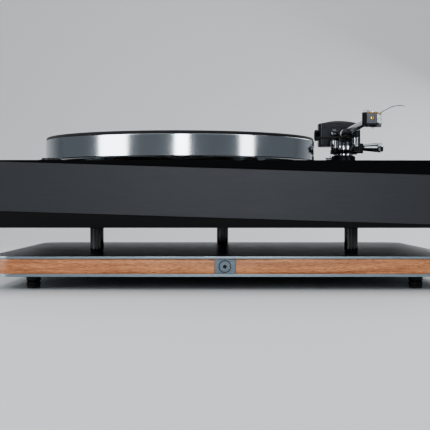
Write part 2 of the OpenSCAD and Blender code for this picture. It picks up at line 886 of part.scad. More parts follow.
module arm_rest() {
    floor_z = arm_z - tube_r(rest_y) - move_gap;
    wall_x = pivot[0] + tube_r(rest_y) + move_gap;
    color("#18191b") {
        rod([rest_x, rest_y], bracket_z, rest_r, floor_z - 3 - bracket_z + e);
        translate([pivot[0] - 6, rest_y - 4, floor_z - 3]) cube([wall_x - pivot[0] + 9, 8, 3]);
        translate([wall_x, rest_y - 4, floor_z - e]) cube([3, 8, 9]);
    }
}

module bias_dial() {
    color("#2a2c30") difference() {
        union() {
            rod(dial, bracket_z + 1, dial_pin_r, bracket_t + 2);
            turned(dial, bracket_z + bracket_t + 2.4, dial_r, 5, 0.7);
        }
        translate([dial[0] - 0.5, dial[1] - dial_r, bracket_z + bracket_t + 6.9]) cube([1, 5, 2]);
    }
}

// ---- Tonearm ----

module yoke() {
    leg_top = arm_z + 6.5;
    color("#3a3d42") difference() {
        union() {
            rod(pivot, yoke_z - 0.6 - pin_len, pin_r, pin_len + 1);
            turned(pivot, yoke_z, 11.4, yoke_base_t, 0.5);
            for (s = [-1, 1]) translate([pivot[0] + s * (leg_in + leg_t / 2) - leg_t / 2,
                    pivot[1] - leg_half_l, yoke_z]) cube([leg_t, 2 * leg_half_l, arm_z - yoke_z]);
            for (s = [-1, 1])
                rod_x([pivot[0] + s * (leg_in + leg_t / 2) - leg_t / 2, pivot[1], arm_z], 6.5, leg_t);
            translate([pivot[0] - leg_in - leg_t, pivot[1] - leg_half_l, yoke_z])
                cube([2 * (leg_in + leg_t), 2 * leg_half_l, yoke_base_t]);
        }
        rod_x([pivot[0] - leg_in - leg_t - 1, pivot[1], arm_z], pivot_screw_r + e, leg_t + 2);
        rod_x([pivot[0] + leg_in - 1, pivot[1], arm_z], pivot_screw_r + e, leg_t + 2);
    }
}

module pivot_screws() {
    color("#c9ccd0") for (s = [-1, 1]) translate([pivot[0], pivot[1], arm_z]) rotate([0, s * 90, 0])
        difference() {
            union() {
                translate([0, 0, leg_in]) cylinder(r = pivot_screw_r, h = leg_t + 1.2);
                translate([0, 0, leg_in - 4.5]) cylinder(r = pivot_pin_r, h = 5);
            }
            translate([0, 0, leg_in + leg_t]) cylinder(r = 1.2, h = 2, $fn = 6);
        }
}

module arm_hub() {
    color("#26282c") difference() {
        union() {
            rod_y([pivot[0], pivot[1] - hub_half_l, arm_z], hub_r, 2 * hub_half_l);
            rod_x([pivot[0] - hub_half_w, pivot[1], arm_z], 4.6, 2 * hub_half_w);
        }
        for (s = [-1, 1]) translate([pivot[0], pivot[1], arm_z]) rotate([0, s * 90, 0])
            translate([0, 0, leg_in - 5.2]) cylinder(r = pivot_pin_r + fit_gap, h = 10);
        rod_y([pivot[0], pivot[1] - hub_half_l - 1, arm_z], tube_rear_d / 2, 4);
        rod_y([pivot[0], pivot[1] + hub_half_l - 6, arm_z], weight_shaft_d / 2 + e, 8);
    }
}

module arm_tube() {
    color("#9aa0a6") translate([pivot[0], tube_y0, arm_z]) rotate([-90, 0, 0]) rotate_extrude()
        polygon([[tube_front_d / 2 - tube_wall, 0], [tube_front_d / 2, 0],
            [tube_rear_d / 2, tube_y1 - tube_y0], [tube_rear_d / 2 - tube_wall, tube_y1 - tube_y0]]);
}

// Places a shape in the cartridge's own frame: its length along Y, its middle at the origin
module at_cartridge(z) {
    translate([cart_mid[0], cart_mid[1], z]) rotate([0, 0, -offset_angle]) children();
}

module headshell() {
    x = -cart_w / 2 - cheek_t - 0.1;
    color("#1d1e21") difference() {
        union() {
            at_cartridge(cheek_z) translate([x, -cheek_len / 2, 0]) cube([cheek_t, cheek_len, cheek_h]);
            at_cartridge(cheek_z + cheek_h) translate([x, -cheek_len / 2 + 1, 0])
                cube([cheek_t, cheek_len - 6, 2.6]);
            rod_y([pivot[0], socket_y, arm_z], tube_front_d / 2 + socket_wall, socket_len);
            at_cartridge(arm_z - 3.6) translate([x, cheek_len / 2 - 3, 0]) cube([cheek_t, 8.4, 7.2]);
            at_cartridge(arm_z - 3.6) translate([x + 1, cart_len / 2 + socket_gap, 0]) cube([8.6, 5.5, 7.2]);
        }
        translate([pivot[0], tube_y0, arm_z]) rotate([-90, 0, 0])
            cylinder(r1 = tube_r(tube_y0), r2 = tube_r(tube_y0 + socket_len), h = socket_len);
    }
}

module gold_plate() {
    color("#caa24c") difference() {
        at_cartridge(plate_z) translate([-cart_w / 2 - 0.1, -cart_len / 2, 0])
            cube([cart_w + 0.6, cart_len - 1, gold_t]);
        for (y = plate_screws_y) at_cartridge(plate_z - 1) translate([0, y, 0]) cylinder(r = plate_screw_r, h = 4);
    }
}

module headshell_screws() {
    color("#b8bcc0") for (y = plate_screws_y) at_cartridge(plate_z - 4) translate([0, y, 0]) {
        cylinder(r = plate_screw_r, h = 4 + gold_t);
        translate([0, 0, 4 + gold_t]) cylinder(r = 2, h = 1.4);
    }
}

module cartridge() {
    color("#6d7176") difference() {
        at_cartridge(cart_z) {
            translate([-cart_w / 2, -cart_len / 2, 3]) cube([cart_w, cart_len, cart_h - 3]);
            translate([-cart_w / 2, -cart_len / 2 + 5, 0]) cube([cart_w, cart_len - 5, 3.01]);
            for (x = [2.2, 4.6], z = [4, 9]) translate([x, cart_len / 2, z])
                rotate([-90, 0, 0]) cylinder(r = 0.6, h = 2.4, $fn = 16);
        }
        for (y = plate_screws_y) at_cartridge(plate_z - 4) translate([0, y, 0]) cylinder(r = plate_screw_r, h = 5);
    }
}

module stylus_holder() {
    color("#2a2d33") at_cartridge(cart_z) translate([0, -cart_len / 2, 0]) rotate([90, 0, 90])
        translate([0, 0, -3.4]) linear_extrude(6.8)
            polygon([[0.2, 2.9], [0.2, 1.6], [2.4, 0.2], [4.8, 0.2], [4.8, 2.9]]);
}

module cantilever() {
    len = 5.2;
    drop = cart_z + 0.6 - tip_z - 0.5;
    color("#c8cacc") {
        translate([tip[0], tip[1], tip_z]) cylinder(r1 = 0.15, r2 = 0.4, h = 1);
        at_cartridge(tip_z + 0.75) translate([0, -stylus_back, 0])
            rotate([-atan2(len, drop) , 0, 0]) cylinder(r = 0.35, h = norm([len, drop]), $fn = 16);
    }
}

// Height of the finger lift along its length: it rises, and its end turns down
function lift_curve(t) = 7.2 * sin(120 * t);
module finger_lift() {
    l = 27;
    color("#aeb3b8") at_cartridge(plate_z + 0.1) translate([cart_w / 2 + 0.5, -2, 0])
        rotate([90, 0, 0]) linear_extrude(1.8, center = true) polygon(concat(
            [for (i = [0 : lift_steps]) [l * i / lift_steps, lift_curve(i / lift_steps)]],
            [for (i = [lift_steps : -1 : 0]) [l * i / lift_steps, lift_curve(i / lift_steps) + 1.2]]));
}

module weight_shaft() {
    y0 = pivot[1] + hub_half_l - 6;
    color("#b0b4b8") rod_y([pivot[0], y0, arm_z], weight_shaft_d / 2, weight_shaft_end - y0);
}

module counterweight() {
    w = weight_w / 2;
    h = weight_h / 2;
    r = (w * w + weight_dome * weight_dome) / (2 * weight_dome);
    color("#54575c") difference() {
        translate([pivot[0], weight_y + weight_len / 2, weight_z]) rotate([90, 0, 0])
            linear_extrude(weight_len) union() {
                round_rect(weight_w, weight_h, 2.5);
                intersection() {
                    translate([0, h + weight_dome - r]) circle(r, $fn = 180);
                    translate([-w, 0]) square([2 * w, 2 * h]);
                }
            }
        rod_y([pivot[0], weight_y - weight_len, arm_z], weight_shaft_d / 2 + fit_gap, 2 * weight_len);
        rod_x([pivot[0] - w - 1, weight_y, weight_z], knob_pin_r + fit_gap, w / 2);
        for (z = [-9.6, -5.2, 9.2])
            translate([pivot[0] - w + 6.5, weight_y - weight_len / 2 - 1, weight_z + z])
                cube([2 * w - 13, 2.2, 1.1]);
    }
}

module weight_knob() {
    x = pivot[0] - weight_w / 2 - 0.4;
    color("#202225") {
        rod_x([x - knob_t, weight_y, weight_z], knob_r, knob_t);
        rod_x([x - 0.1, weight_y, weight_z], knob_pin_r, 9);
    }
}

foot_pads();
feet();
base_bottom_plate();
wood_frame();
base_core();
base_top_plate();
badge();
case_screws();
pillars();
pillar_washers();
pillar_studs();
plinth_body();
front_fascia();
bottom_cover();
armboard();
armboard_screws();
socket_panel();
power_inlet();
signal_sockets();
ground_terminal();
inner_leads();
control_board();
switch_block();
button_bezel();
power_button();
motor_mount();
motor_can();
motor_shaft();
motor_pulley();
drive_belt();
bearing_housing();
bearing_bushes();
thrust_ball();
bearing_cap();
spindle_shaft();
sub_platter();
platter();
platter_mat();
arm_collar();
collar_screw();
arm_pillar();
lift_bracket();
lift_rail();
cue_lever();
arm_rest();
bias_dial();
yoke();
pivot_screws();
arm_hub();
arm_tube();
headshell();
gold_plate();
headshell_screws();
cartridge();
stylus_holder();
cantilever();
finger_lift();
weight_shaft();
counterweight();
weight_knob();
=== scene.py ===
"""Finishes a two-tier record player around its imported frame: every piece and every finish."""

import json
import math

import bmesh
import bpy
import numpy as np

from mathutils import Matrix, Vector


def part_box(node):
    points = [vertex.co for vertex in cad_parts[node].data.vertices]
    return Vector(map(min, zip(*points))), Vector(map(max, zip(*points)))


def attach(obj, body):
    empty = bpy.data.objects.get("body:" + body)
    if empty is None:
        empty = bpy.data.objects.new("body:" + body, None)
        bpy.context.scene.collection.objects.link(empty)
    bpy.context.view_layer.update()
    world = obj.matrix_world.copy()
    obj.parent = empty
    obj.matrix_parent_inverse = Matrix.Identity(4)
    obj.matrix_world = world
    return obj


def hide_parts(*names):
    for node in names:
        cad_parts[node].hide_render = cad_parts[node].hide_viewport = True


bl_info = {
    "name": "Record Player Finish",
    "version": (1, 0, 0),
    "blender": (4, 5, 0),
    "location": "3D View > Sidebar > Record Player",
    "description": "Builds the pieces and finishes of a two-tier record player on its frame",
    "category": "Object",
}

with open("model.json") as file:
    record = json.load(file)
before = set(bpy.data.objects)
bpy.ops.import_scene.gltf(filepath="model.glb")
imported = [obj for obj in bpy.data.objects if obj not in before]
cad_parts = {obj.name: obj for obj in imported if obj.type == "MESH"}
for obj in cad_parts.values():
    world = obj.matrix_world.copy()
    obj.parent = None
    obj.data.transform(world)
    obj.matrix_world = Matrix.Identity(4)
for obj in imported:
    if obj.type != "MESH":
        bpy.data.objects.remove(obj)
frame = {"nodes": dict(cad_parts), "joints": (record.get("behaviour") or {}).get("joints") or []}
MM = 0.001
made = {}


def low(node):
    """A node's lowest corner, in millimetres."""
    return np.array(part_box(node)[0]) / MM


def high(node):
    """A node's highest corner, in millimetres."""
    return np.array(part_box(node)[1]) / MM


def middle(node):
    """The middle of a node's box, in millimetres."""
    return (low(node) + high(node)) / 2


def joint(name):
    """A joint's place, in millimetres."""
    return np.array(next(j for j in frame["joints"] if j["name"] == name)["pos_m"]) / MM


SPINDLE = joint("platter_spin")
PIVOT = joint("arm_tilt")
HEADSHELL_ANGLE = math.radians(22.5)
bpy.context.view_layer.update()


# ---- Sizes and colours ----

class RecordPlayerSizes(bpy.types.PropertyGroup):
    """Sizes, in millimetres, that shape the visible pieces without changing the frame."""

    arris: bpy.props.FloatProperty(name="Arris", description="Rounding of the lacquered edges, in mm",
                                   default=0.9, min=0.1, max=2.0)
    fine_arris: bpy.props.FloatProperty(name="Fine arris",
                                        description="Rounding of small metal edges, in mm",
                                        default=0.28, min=0.05, max=0.6)
    turns: bpy.props.IntProperty(name="Turned steps", description="Steps round a large turned piece",
                                 default=288, min=48, max=720)
    knurls: bpy.props.IntProperty(name="Knurls", description="Ridges round a knurled knob",
                                  default=36, min=12, max=90)
    mat_groove: bpy.props.FloatProperty(name="Mat groove", description="Depth of the mat's rings, in mm",
                                        default=0.35, min=0.0, max=1.0)
    wood_crown: bpy.props.FloatProperty(name="Wood crown", description="Bulge of the wooden band, in mm",
                                        default=0.35, min=0.0, max=0.45)


class RecordPlayerColours(bpy.types.PropertyGroup):
    """Colours of the main finishes, as sRGB hexadecimal values."""

    lacquer: bpy.props.StringProperty(name="Lacquer", description="Black lacquer", default="#09090A")
    # The fascia's grey is partly its own tone and partly painted light: it is lighter than the lacquer where
    # light falls on the front facet.
    fascia: bpy.props.StringProperty(name="Fascia", description="Graphite fascia", default="#37393D")
    plate: bpy.props.StringProperty(name="Plates", description="Brushed tier plates", default="#86929A")
    wood_light: bpy.props.StringProperty(name="Light wood", description="Pale grain", default="#CE8F62")
    wood_dark: bpy.props.StringProperty(name="Dark wood", description="Dark grain", default="#8A5230")
    platter: bpy.props.StringProperty(name="Platter", description="Turned aluminium", default="#C3C9CE")
    mat: bpy.props.StringProperty(name="Mat", description="Black mat", default="#141416")
    gold: bpy.props.StringProperty(name="Gold", description="Gold plate", default="#D9AE5A")


def sizes():
    """The sizes set on the scene."""
    return bpy.context.scene.record_player_sizes


def colours():
    """The colours set on the scene."""
    return bpy.context.scene.record_player_colours


# ---- Mesh tools ----

def arcs(points, radius, steps=4, closed=True):
    """Rounds a polyline's corners: each corner becomes a quadratic curve from one side to the other.

    A corner's curve starts and ends radius away from it, or less where a side is short.
    """
    p = np.asarray(points, float)
    n = len(p)
    out = []
    t = np.linspace(0, 1, steps + 1)[:, None]
    for i in range(n):
        if not closed and i in (0, n - 1):
            out.append(p[i][None])
            continue
        before, after = p[i - 1] - p[i], p[(i + 1) % n] - p[i]
        r = min(radius, 0.45 * np.linalg.norm(before), 0.45 * np.linalg.norm(after))
        a = p[i] + before / np.linalg.norm(before) * r
        b = p[i] + after / np.linalg.norm(after) * r
        out.append((1 - t) ** 2 * a + 2 * t * (1 - t) * p[i] + t ** 2 * b)
    return np.concatenate(out)


def grid_faces(rows, columns, wrap_rows=False, wrap_columns=True):
    """Quads between neighbours of a rows by columns grid of points."""
    i = np.arange(rows if wrap_rows else rows - 1)[:, None]
    j = np.arange(columns if wrap_columns else columns - 1)[None]
    k, m = (i + 1) % rows, (j + 1) % columns
    return np.stack([i * columns + j, i * columns + m, k * columns + m, k * columns + j], -1).reshape(-1, 4)


def capped_faces(rows, columns):
    """The faces of a stack of rings, with one flat face closing each end."""
    ends = [list(range(columns))[::-1], list(range(columns * (rows - 1), columns * rows))]
    return [list(face) for face in grid_faces(rows, columns)] + ends


def piece(name, points, faces, body, material, stands_for=(), sharp=35, uv=None):
    mesh = bpy.data.meshes.new(name)
    mesh.from_pydata(np.asarray(points, float).reshape(-1, 3) * MM, [], [list(f) for f in faces])
    if uv is not None:
        layer = mesh.uv_layers.new(name="UVMap")
        corner = np.empty(len(mesh.loops), np.int32)
        mesh.loops.foreach_get("vertex_index", corner)
        layer.data.foreach_set("uv", np.asarray(uv, float)[corner].ravel())
    edit = bmesh.new()
    edit.from_mesh(mesh)
    bmesh.ops.remove_doubles(edit, verts=edit.verts, dist=2e-6)
    bmesh.ops.recalc_face_normals(edit, faces=edit.faces)
    edit.to_mesh(mesh)
    edit.free()
    mesh.shade_smooth()
    mesh.set_sharp_from_angle(angle=math.radians(sharp))
    mesh.materials.append(material)
    thing = declare(bpy.data.objects.new(name, mesh), body, stands_for)
    flat = thing.modifiers.new("flat faces", "WEIGHTED_NORMAL")
    flat.keep_sharp = True
    return thing


def declare(thing, body, stands_for=()):
    """Links an object, makes it ride on a body, hides the nodes it stands for, and keeps it among the made
    pieces.
    """
    if thing.name not in bpy.context.scene.collection.objects:
        bpy.context.scene.collection.objects.link(thing)
    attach(thing, body)
    if stands_for:
        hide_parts(*stands_for)
    made[thing.name] = thing
    return thing


def along(axis):
    """A matrix that turns +Z to an axis, its columns the new X, Y and Z."""
    z = np.asarray(axis, float) / np.linalg.norm(axis)
    x = np.cross([0, 1, 0] if abs(z[1]) < 0.9 else [1, 0, 0], z)
    x /= np.linalg.norm(x)
    return np.stack([x, np.cross(z, x), z], 1)


def turned(profile, place, axis=(0, 0, 1), steps=96, ridges=0, ridge=0.0, closed=False):
    """A surface of revolution: each (radius, height) goes round the axis in equal steps.

    With ridges, the radius swells and shrinks as the cosine of ridges times the angle, to make a knurl,
    and only where the third column of the profile says so.
    """
    p = np.asarray(profile, float)
    a = np.linspace(0, 2 * np.pi, steps, endpoint=False)[None]
    weight = p[:, 2:3] if p.shape[1] > 2 else 1.0
    r = p[:, :1] + weight * ridge * np.cos(ridges * a)
    grid = np.stack([r * np.cos(a), r * np.sin(a), p[:, 1:2] + 0 * a], -1)
    return (grid @ along(axis).T + np.asarray(place, float)).reshape(-1, 3), \
        grid_faces(len(p), steps, wrap_rows=closed)


def tube(path, radius, sides=16):
    """A round profile carried along a path, its radius given at each point, and its ends closed."""
    p = np.asarray(path, float)
    r = np.broadcast_to(np.asarray(radius, float), len(p)).copy()
    t = np.gradient(p, axis=0)
    t /= np.linalg.norm(t, axis=1, keepdims=True)
    up = np.array([0, 0, 1.0]) if np.abs(t[:, 2]).max() < 0.95 else np.array([1.0, 0, 0])
    x = np.cross(up, t)
    x /= np.linalg.norm(x, axis=1, keepdims=True)
    y = np.cross(t, x)
    a = np.linspace(0, 2 * np.pi, sides, endpoint=False)[None, :, None]
    ring = p[:, None] + r[:, None, None] * (x[:, None] * np.cos(a) + y[:, None] * np.sin(a))
    ends = [np.repeat(p[i][None, None], sides, 1) for i in (0, -1)]
    grid = np.concatenate([ends[0], ring, ends[1]])
    return grid.reshape(-1, 3), grid_faces(len(grid), sides)


def smooth_path(points, steps=10):
    """A Catmull-Rom curve through points, with that many steps between neighbours."""
    p = np.asarray(points, float)
    p = np.concatenate([[2 * p[0] - p[1]], p, [2 * p[-1] - p[-2]]])
    t = np.linspace(0, 1, steps, endpoint=False)[:, None]
    runs = [0.5 * (2 * b + (c - a) * t + (2 * a - 5 * b + 4 * c - d) * t ** 2
                   + (3 * b - a - 3 * c + d) * t ** 3)
            for a, b, c, d in zip(p[:-3], p[1:-2], p[2:-1], p[3:])]
    return np.concatenate(runs + [p[-2][None]])


def rounded_outline(width, depth, radius, inset, steps=14, run=24):
    """A rectangle with round corners, drawn anticlockwise and moved inwards by inset."""
    w, d, r = width / 2 - inset, depth / 2 - inset, max(radius - inset, 0.05)
    a = np.linspace(0, np.pi / 2, steps)
    parts = []
    for k, (sx, sy) in enumerate([(1, 1), (-1, 1), (-1, -1), (1, -1)]):
        turn = a + k * np.pi / 2
        corner = np.stack([sx * (w - r) + r * np.cos(turn), sy * (d - r) + r * np.sin(turn)], 1)
        after = [(-1, 1), (-1, -1), (1, -1), (1, 1)][k]
        start = np.array([after[0] * (w - r), after[1] * (d - r)]) + r * np.array(
            [np.cos(turn[-1]), np.sin(turn[-1])])
        line = np.linspace(corner[-1], start, run + 2)[1:-1]
        parts += [corner, line]
    return np.concatenate(parts)


def layered(width, depth, radius, profile, closed=False):
    """A rounded rectangle carried up a profile of (inset, height) pairs, centred on the origin.

    Its ends are filled unless the profile closes on itself. Its UV holds the way round and the way up,
    in millimetres.
    """
    rings = [rounded_outline(width, depth, radius, inset) for inset, _ in profile]
    n = len(rings[0])
    points = np.concatenate([np.column_stack([ring, np.full(n, z)])
                             for ring, (_, z) in zip(rings, profile)])
    around = np.concatenate([[0], np.cumsum(np.linalg.norm(np.diff(rings[0], axis=0), axis=1))])
    up = np.array([z for _, z in profile])
    uv = np.stack([np.tile(around, len(profile)), np.repeat(up, n)], 1)
    faces = [list(f) for f in grid_faces(len(profile), n, wrap_rows=closed)]
    if not closed:
        last = n * (len(profile) - 1)
        faces += [list(range(n))[::-1], list(range(last, last + n))]
    return points, faces, uv


def softened(name, node, body, material, width, stands_for=True, segments=2):
    """A merged copy of a CAD node with its sharp edges rounded by the given width, in millimetres."""
    edit = bmesh.new()
    edit.from_mesh(frame["nodes"][node].data)
    bmesh.ops.remove_doubles(edit, verts=edit.verts, dist=2e-6)
    bmesh.ops.dissolve_limit(edit, angle_limit=math.radians(0.8), verts=edit.verts, edges=edit.edges)
    mesh = bpy.data.meshes.new(name)
    edit.to_mesh(mesh)
    edit.free()
    mesh.materials.clear()
    mesh.materials.append(material)
    mesh.shade_smooth()
    thing = bpy.data.objects.new(name, mesh)
    bpy.context.scene.collection.objects.link(thing)
    bevel = thing.modifiers.new("arris", "BEVEL")
    bevel.width = width * MM
    bevel.segments = segments
    bevel.limit_method = "ANGLE"
    bevel.angle_limit = math.radians(32)
    bevel.use_clamp_overlap = True
    flat = thing.modifiers.new("flat faces", "WEIGHTED_NORMAL")
    flat.weight = 80
    return declare(thing, body, [node] if stands_for else ())


def knurled(name, place, axis, radius, length, body, material, stands_for=(), steps=216, dish=0.0):
    """A knurled knob: a cylinder whose side is ridged between two plain, chamfered ends."""
    c = min(0.7, length * 0.2)
    ridge = min(0.35, radius * 0.045)
    profile = [(0, 0, 0), (radius - c - 0.3, 0, 0), (radius - 0.3, c * 0.7, 0), (radius - ridge, c, 1),
               (radius - ridge, length - c, 1), (radius - 0.3, length - c * 0.7, 0),
               (radius - c - 0.3, length, 0), (radius * 0.6, length - dish, 0), (0, length - dish, 0)]
    points, faces = turned(profile, place, axis, steps, sizes().knurls, ridge)
    return piece(name, points, faces, body, material, stands_for, sharp=50)


# ---- Finishes ----

def linear(text):
    """An sRGB hexadecimal colour as linear RGBA."""
    c = np.array([int(text[i:i + 2], 16) for i in (1, 3, 5)]) / 255
    return (*np.where(c <= 0.04045, c / 12.92, ((c + 0.055) / 1.055) ** 2.4).tolist(), 1.0)


def add(tree, kind, inputs=None, **settings):
    """Adds a shader node. Each input is a value, or an output socket that is linked to it."""
    new = tree.nodes.new("ShaderNode" + kind)
    for key, value in settings.items():
        setattr(new, key, value)
    for key, value in (inputs or {}).items():
        if isinstance(value, bpy.types.NodeSocket):
            tree.links.new(value, new.inputs[key])
        else:
            new.inputs[key].default_value = value
    return new


def finish(name, build, **constants):
    """Makes a finish once: a Principled shader with constant sockets, which build then adds patterns to."""
    old = bpy.data.materials.get(name)
    if old:
        return old
    material = bpy.data.materials.new(name)
    material.use_nodes = True
    tree = material.node_tree
    shader = tree.nodes["Principled BSDF"]
    for key, value in constants.items():
        shader.inputs[key.replace("_", " ")].default_value = value
    build(tree, shader)
    return material


def between(tree, factor, dark, light, start=0.0, end=1.0):
    """The colour output of a ramp from one colour to another."""
    ramp = add(tree, "ValToRGB", {"Fac": factor})
    ramp.color_ramp.elements[0].position = start
    ramp.color_ramp.elements[1].position = end
    ramp.color_ramp.elements[0].color = dark if isinstance(dark, tuple) else linear(dark)
    ramp.color_ramp.elements[1].color = light if isinstance(light, tuple) else linear(light)
    return ramp.outputs["Color"]


def grey(level):
    """A neutral linear colour of the given level."""
    return (level, level, level, 1.0)


def scaled(tree, per_metre, source="Object", location=(0, 0, 0)):
    """Coordinates multiplied by a number per metre along each axis."""
    where = add(tree, "TexCoord").outputs[source]
    return add(tree, "Mapping", {"Vector": where, "Location": location, "Scale": per_metre}).outputs[0]


def bumped(tree, shader, height, depth_mm, strength=1.0):
    """Links a height pattern, its full swing a depth in millimetres, to the shader's normal."""
    bump = add(tree, "Bump", {"Height": height, "Strength": strength, "Distance": depth_mm * MM})
    tree.links.new(bump.outputs[0], shader.inputs["Normal"])


def brushed(name, colour, metallic=1.0, roughness=0.32, run="X", depth=0.012, spread=0.1, spacing=0.35):
    """A metal brushed along X, Y or Z: streaks a fraction of a millimetre wide and centimetres long.

    The eye sees a silky band of light across the streaks. They are drawn 0.35 mm apart, coarser than a
    real 0.1 mm grain, so that they show.
    """
    def build(tree, shader):
        fine = 1 / (spacing * MM)
        rate = [fine * 0.02 if axis == run else fine for axis in "XYZ"]
        noise = add(tree, "TexNoise", {"Vector": scaled(tree, rate), "Scale": 1.0, "Detail": 3.0})
        height = noise.outputs["Fac"]
        colour_out = between(tree, height, tuple(0.82 * c for c in linear(colour)[:3]) + (1.0,), colour,
                             0.2, 0.8)
        tree.links.new(colour_out, shader.inputs["Base Color"])
        tree.links.new(between(tree, height, grey(roughness + spread), grey(roughness - spread), 0.3, 0.7),
                       shader.inputs["Roughness"])
        bumped(tree, shader, height, depth)
    return finish(name, build, Metallic=metallic)


def blasted(name, colour, metallic=1.0, roughness=0.4, grain=0.25, depth=0.01, coat=0.0, spread=0.06):
    """A bead-blasted, anodised, painted or moulded surface: an even grain a quarter of a millimetre wide.

    The eye sees a soft, even sheen with slight patches where the finish varies.
    """
    def build(tree, shader):
        fine = add(tree, "TexNoise", {"Vector": scaled(tree, [1 / (grain * MM)] * 3), "Scale": 1.0,
                                      "Detail": 2.0})
        patch = add(tree, "TexNoise", {"Vector": scaled(tree, [1 / (14 * MM)] * 3), "Scale": 1.0,
                                       "Detail": 4.0, "Roughness": 0.6})
        rough = add(tree, "Math", {0: fine.outputs["Fac"], 1: patch.outputs["Fac"]}, operation="ADD")
        rough = add(tree, "Math", {0: rough.outputs[0], 1: 0.5}, operation="MULTIPLY")
        tree.links.new(between(tree, rough.outputs[0], grey(roughness - spread), grey(roughness + spread),
                               0.3, 0.7), shader.inputs["Roughness"])
        shade = linear(colour)
        tree.links.new(between(tree, patch.outputs["Fac"], tuple(0.9 * c for c in shade[:3]) + (1.0,),
                               tuple(min(1.0, 1.08 * c) for c in shade[:3]) + (1.0,), 0.35, 0.65),
                       shader.inputs["Base Color"])
        bumped(tree, shader, fine.outputs["Fac"], depth)
    return finish(name, build, Metallic=metallic, Coat_Weight=coat, Coat_Roughness=0.08)


def lathe(name, colour, centre, axis="Z", roughness=0.2, spacing=0.9, depth=0.006, metallic=1.0):
    """A turned and polished metal: fine tool rings about an axis, and a faint lengthwise feed mark.

    The eye sees crisp reflections that smear across the rings. They are drawn 0.9 mm apart, where a
    finishing cut leaves 0.1 mm.
    """
    def build(tree, shader):
        place = scaled(tree, (1, 1, 1), location=[-c * MM for c in centre])
        split = add(tree, "SeparateXYZ", {0: place})
        across = [a for a in "XYZ" if a != axis]
        square = [add(tree, "Math", {0: split.outputs[a], 1: 2.0}, operation="POWER") for a in across]
        total = add(tree, "Math", {0: square[0].outputs[0], 1: square[1].outputs[0]}, operation="ADD")
        radius = add(tree, "Math", {0: total.outputs[0], 1: 0.5}, operation="POWER")
        both = add(tree, "Math", {0: radius.outputs[0], 1: split.outputs[axis]}, operation="ADD")
        vector = add(tree, "CombineXYZ", {0: both.outputs[0]})
        rings = add(tree, "TexNoise", {"Vector": vector.outputs[0], "Scale": 1 / (spacing * MM),
                                       "Detail": 2.0})
        smudge = add(tree, "TexNoise", {"Vector": scaled(tree, [1 / (30 * MM)] * 3), "Scale": 1.0,
                                        "Detail": 3.0})
        mix = add(tree, "Math", {0: rings.outputs["Fac"], 1: smudge.outputs["Fac"]}, operation="MULTIPLY")
        tree.links.new(between(tree, mix.outputs[0], grey(roughness * 0.8), grey(roughness * 1.4), 0.1,
                               0.45),
                       shader.inputs["Roughness"])
        shade = linear(colour)
        tree.links.new(between(tree, rings.outputs["Fac"], tuple(0.9 * c for c in shade[:3]) + (1.0,),
                               shade, 0.3, 0.7), shader.inputs["Base Color"])
        bumped(tree, shader, rings.outputs["Fac"], depth)
    return finish(name, build, Metallic=metallic, Anisotropic=0.35 if axis == "Z" else 0.0)


def black_lacquer():
    """Piano lacquer on fibreboard: black, with a clear coat and a very faint orange peel 6 mm across."""
    def build(tree, shader):
        peel = add(tree, "TexNoise", {"Vector": scaled(tree, [1 / (6 * MM)] * 3), "Scale": 1.0,
                                      "Detail": 1.0})
        dust = add(tree, "TexNoise", {"Vector": scaled(tree, [1 / (0.9 * MM)] * 3), "Scale": 1.0,
                                      "Detail": 4.0, "Roughness": 0.75})
        tree.links.new(between(tree, dust.outputs["Fac"], grey(0.16), grey(0.3), 0.35, 0.75),
                       shader.inputs["Roughness"])
        tree.links.new(between(tree, dust.outputs["Fac"], colours().lacquer, "#101012", 0.4, 0.8),
                       shader.inputs["Base Color"])
        bumped(tree, shader, peel.outputs["Fac"], 0.012)
    return finish("black_lacquer", build, Specular_IOR_Level=0.2, Coat_Weight=0.12, Coat_Roughness=0.08)


def veneer():
    """Reddish hardwood veneer: pores 0.3 mm wide and 12 mm long over growth bands 4 mm wide.

    The grain runs the way round, so it follows the UV of the band and turns the corners with it.
    """
    def build(tree, shader):
        where = add(tree, "TexCoord").outputs["UV"]

        def streaks(around, up, detail, rough=0.6):
            """Long soft noise, its cells the given sizes round the band and up it."""
            vector = add(tree, "Mapping", {"Vector": where, "Scale": (1 / around, 1 / up, 1)})
            return add(tree, "TexNoise", {"Vector": vector.outputs[0], "Scale": 1.0, "Detail": detail,
                                          "Roughness": rough, "Distortion": 0.4}).outputs["Fac"]
        bands, fibre, pores = streaks(70, 5.0, 3.0), streaks(9, 0.6, 4.0), streaks(5, 0.35, 1.0)
        tone = add(tree, "Math", {0: bands, 1: fibre}, operation="ADD")
        tone = add(tree, "Math", {0: tone.outputs[0], 1: 0.5}, operation="MULTIPLY")
        wood = between(tree, tone.outputs[0], colours().wood_dark, colours().wood_light, 0.36, 0.62)
        pore = between(tree, pores, grey(0.0), grey(0.85), 0.58, 0.68)
        colour = add(tree, "Mix", {0: pore, 6: wood, 7: linear("#57301C")}, data_type="RGBA")
        tree.links.new(colour.outputs[2], shader.inputs["Base Color"])
        tree.links.new(between(tree, fibre, grey(0.5), grey(0.32), 0.3, 0.7), shader.inputs["Roughness"])
        bumped(tree, shader, fibre, 0.03)
    return finish("oiled_hardwood_veneer", build, Coat_Weight=0.12, Coat_Roughness=0.25)


def rubber(name, colour="#151516", roughness=0.78, grain=0.35):
    """Moulded rubber: dull, with a fine even grain and a slight bloom."""
    return blasted(name, colour, metallic=0.0, roughness=roughness, grain=grain, depth=0.02, spread=0.08)


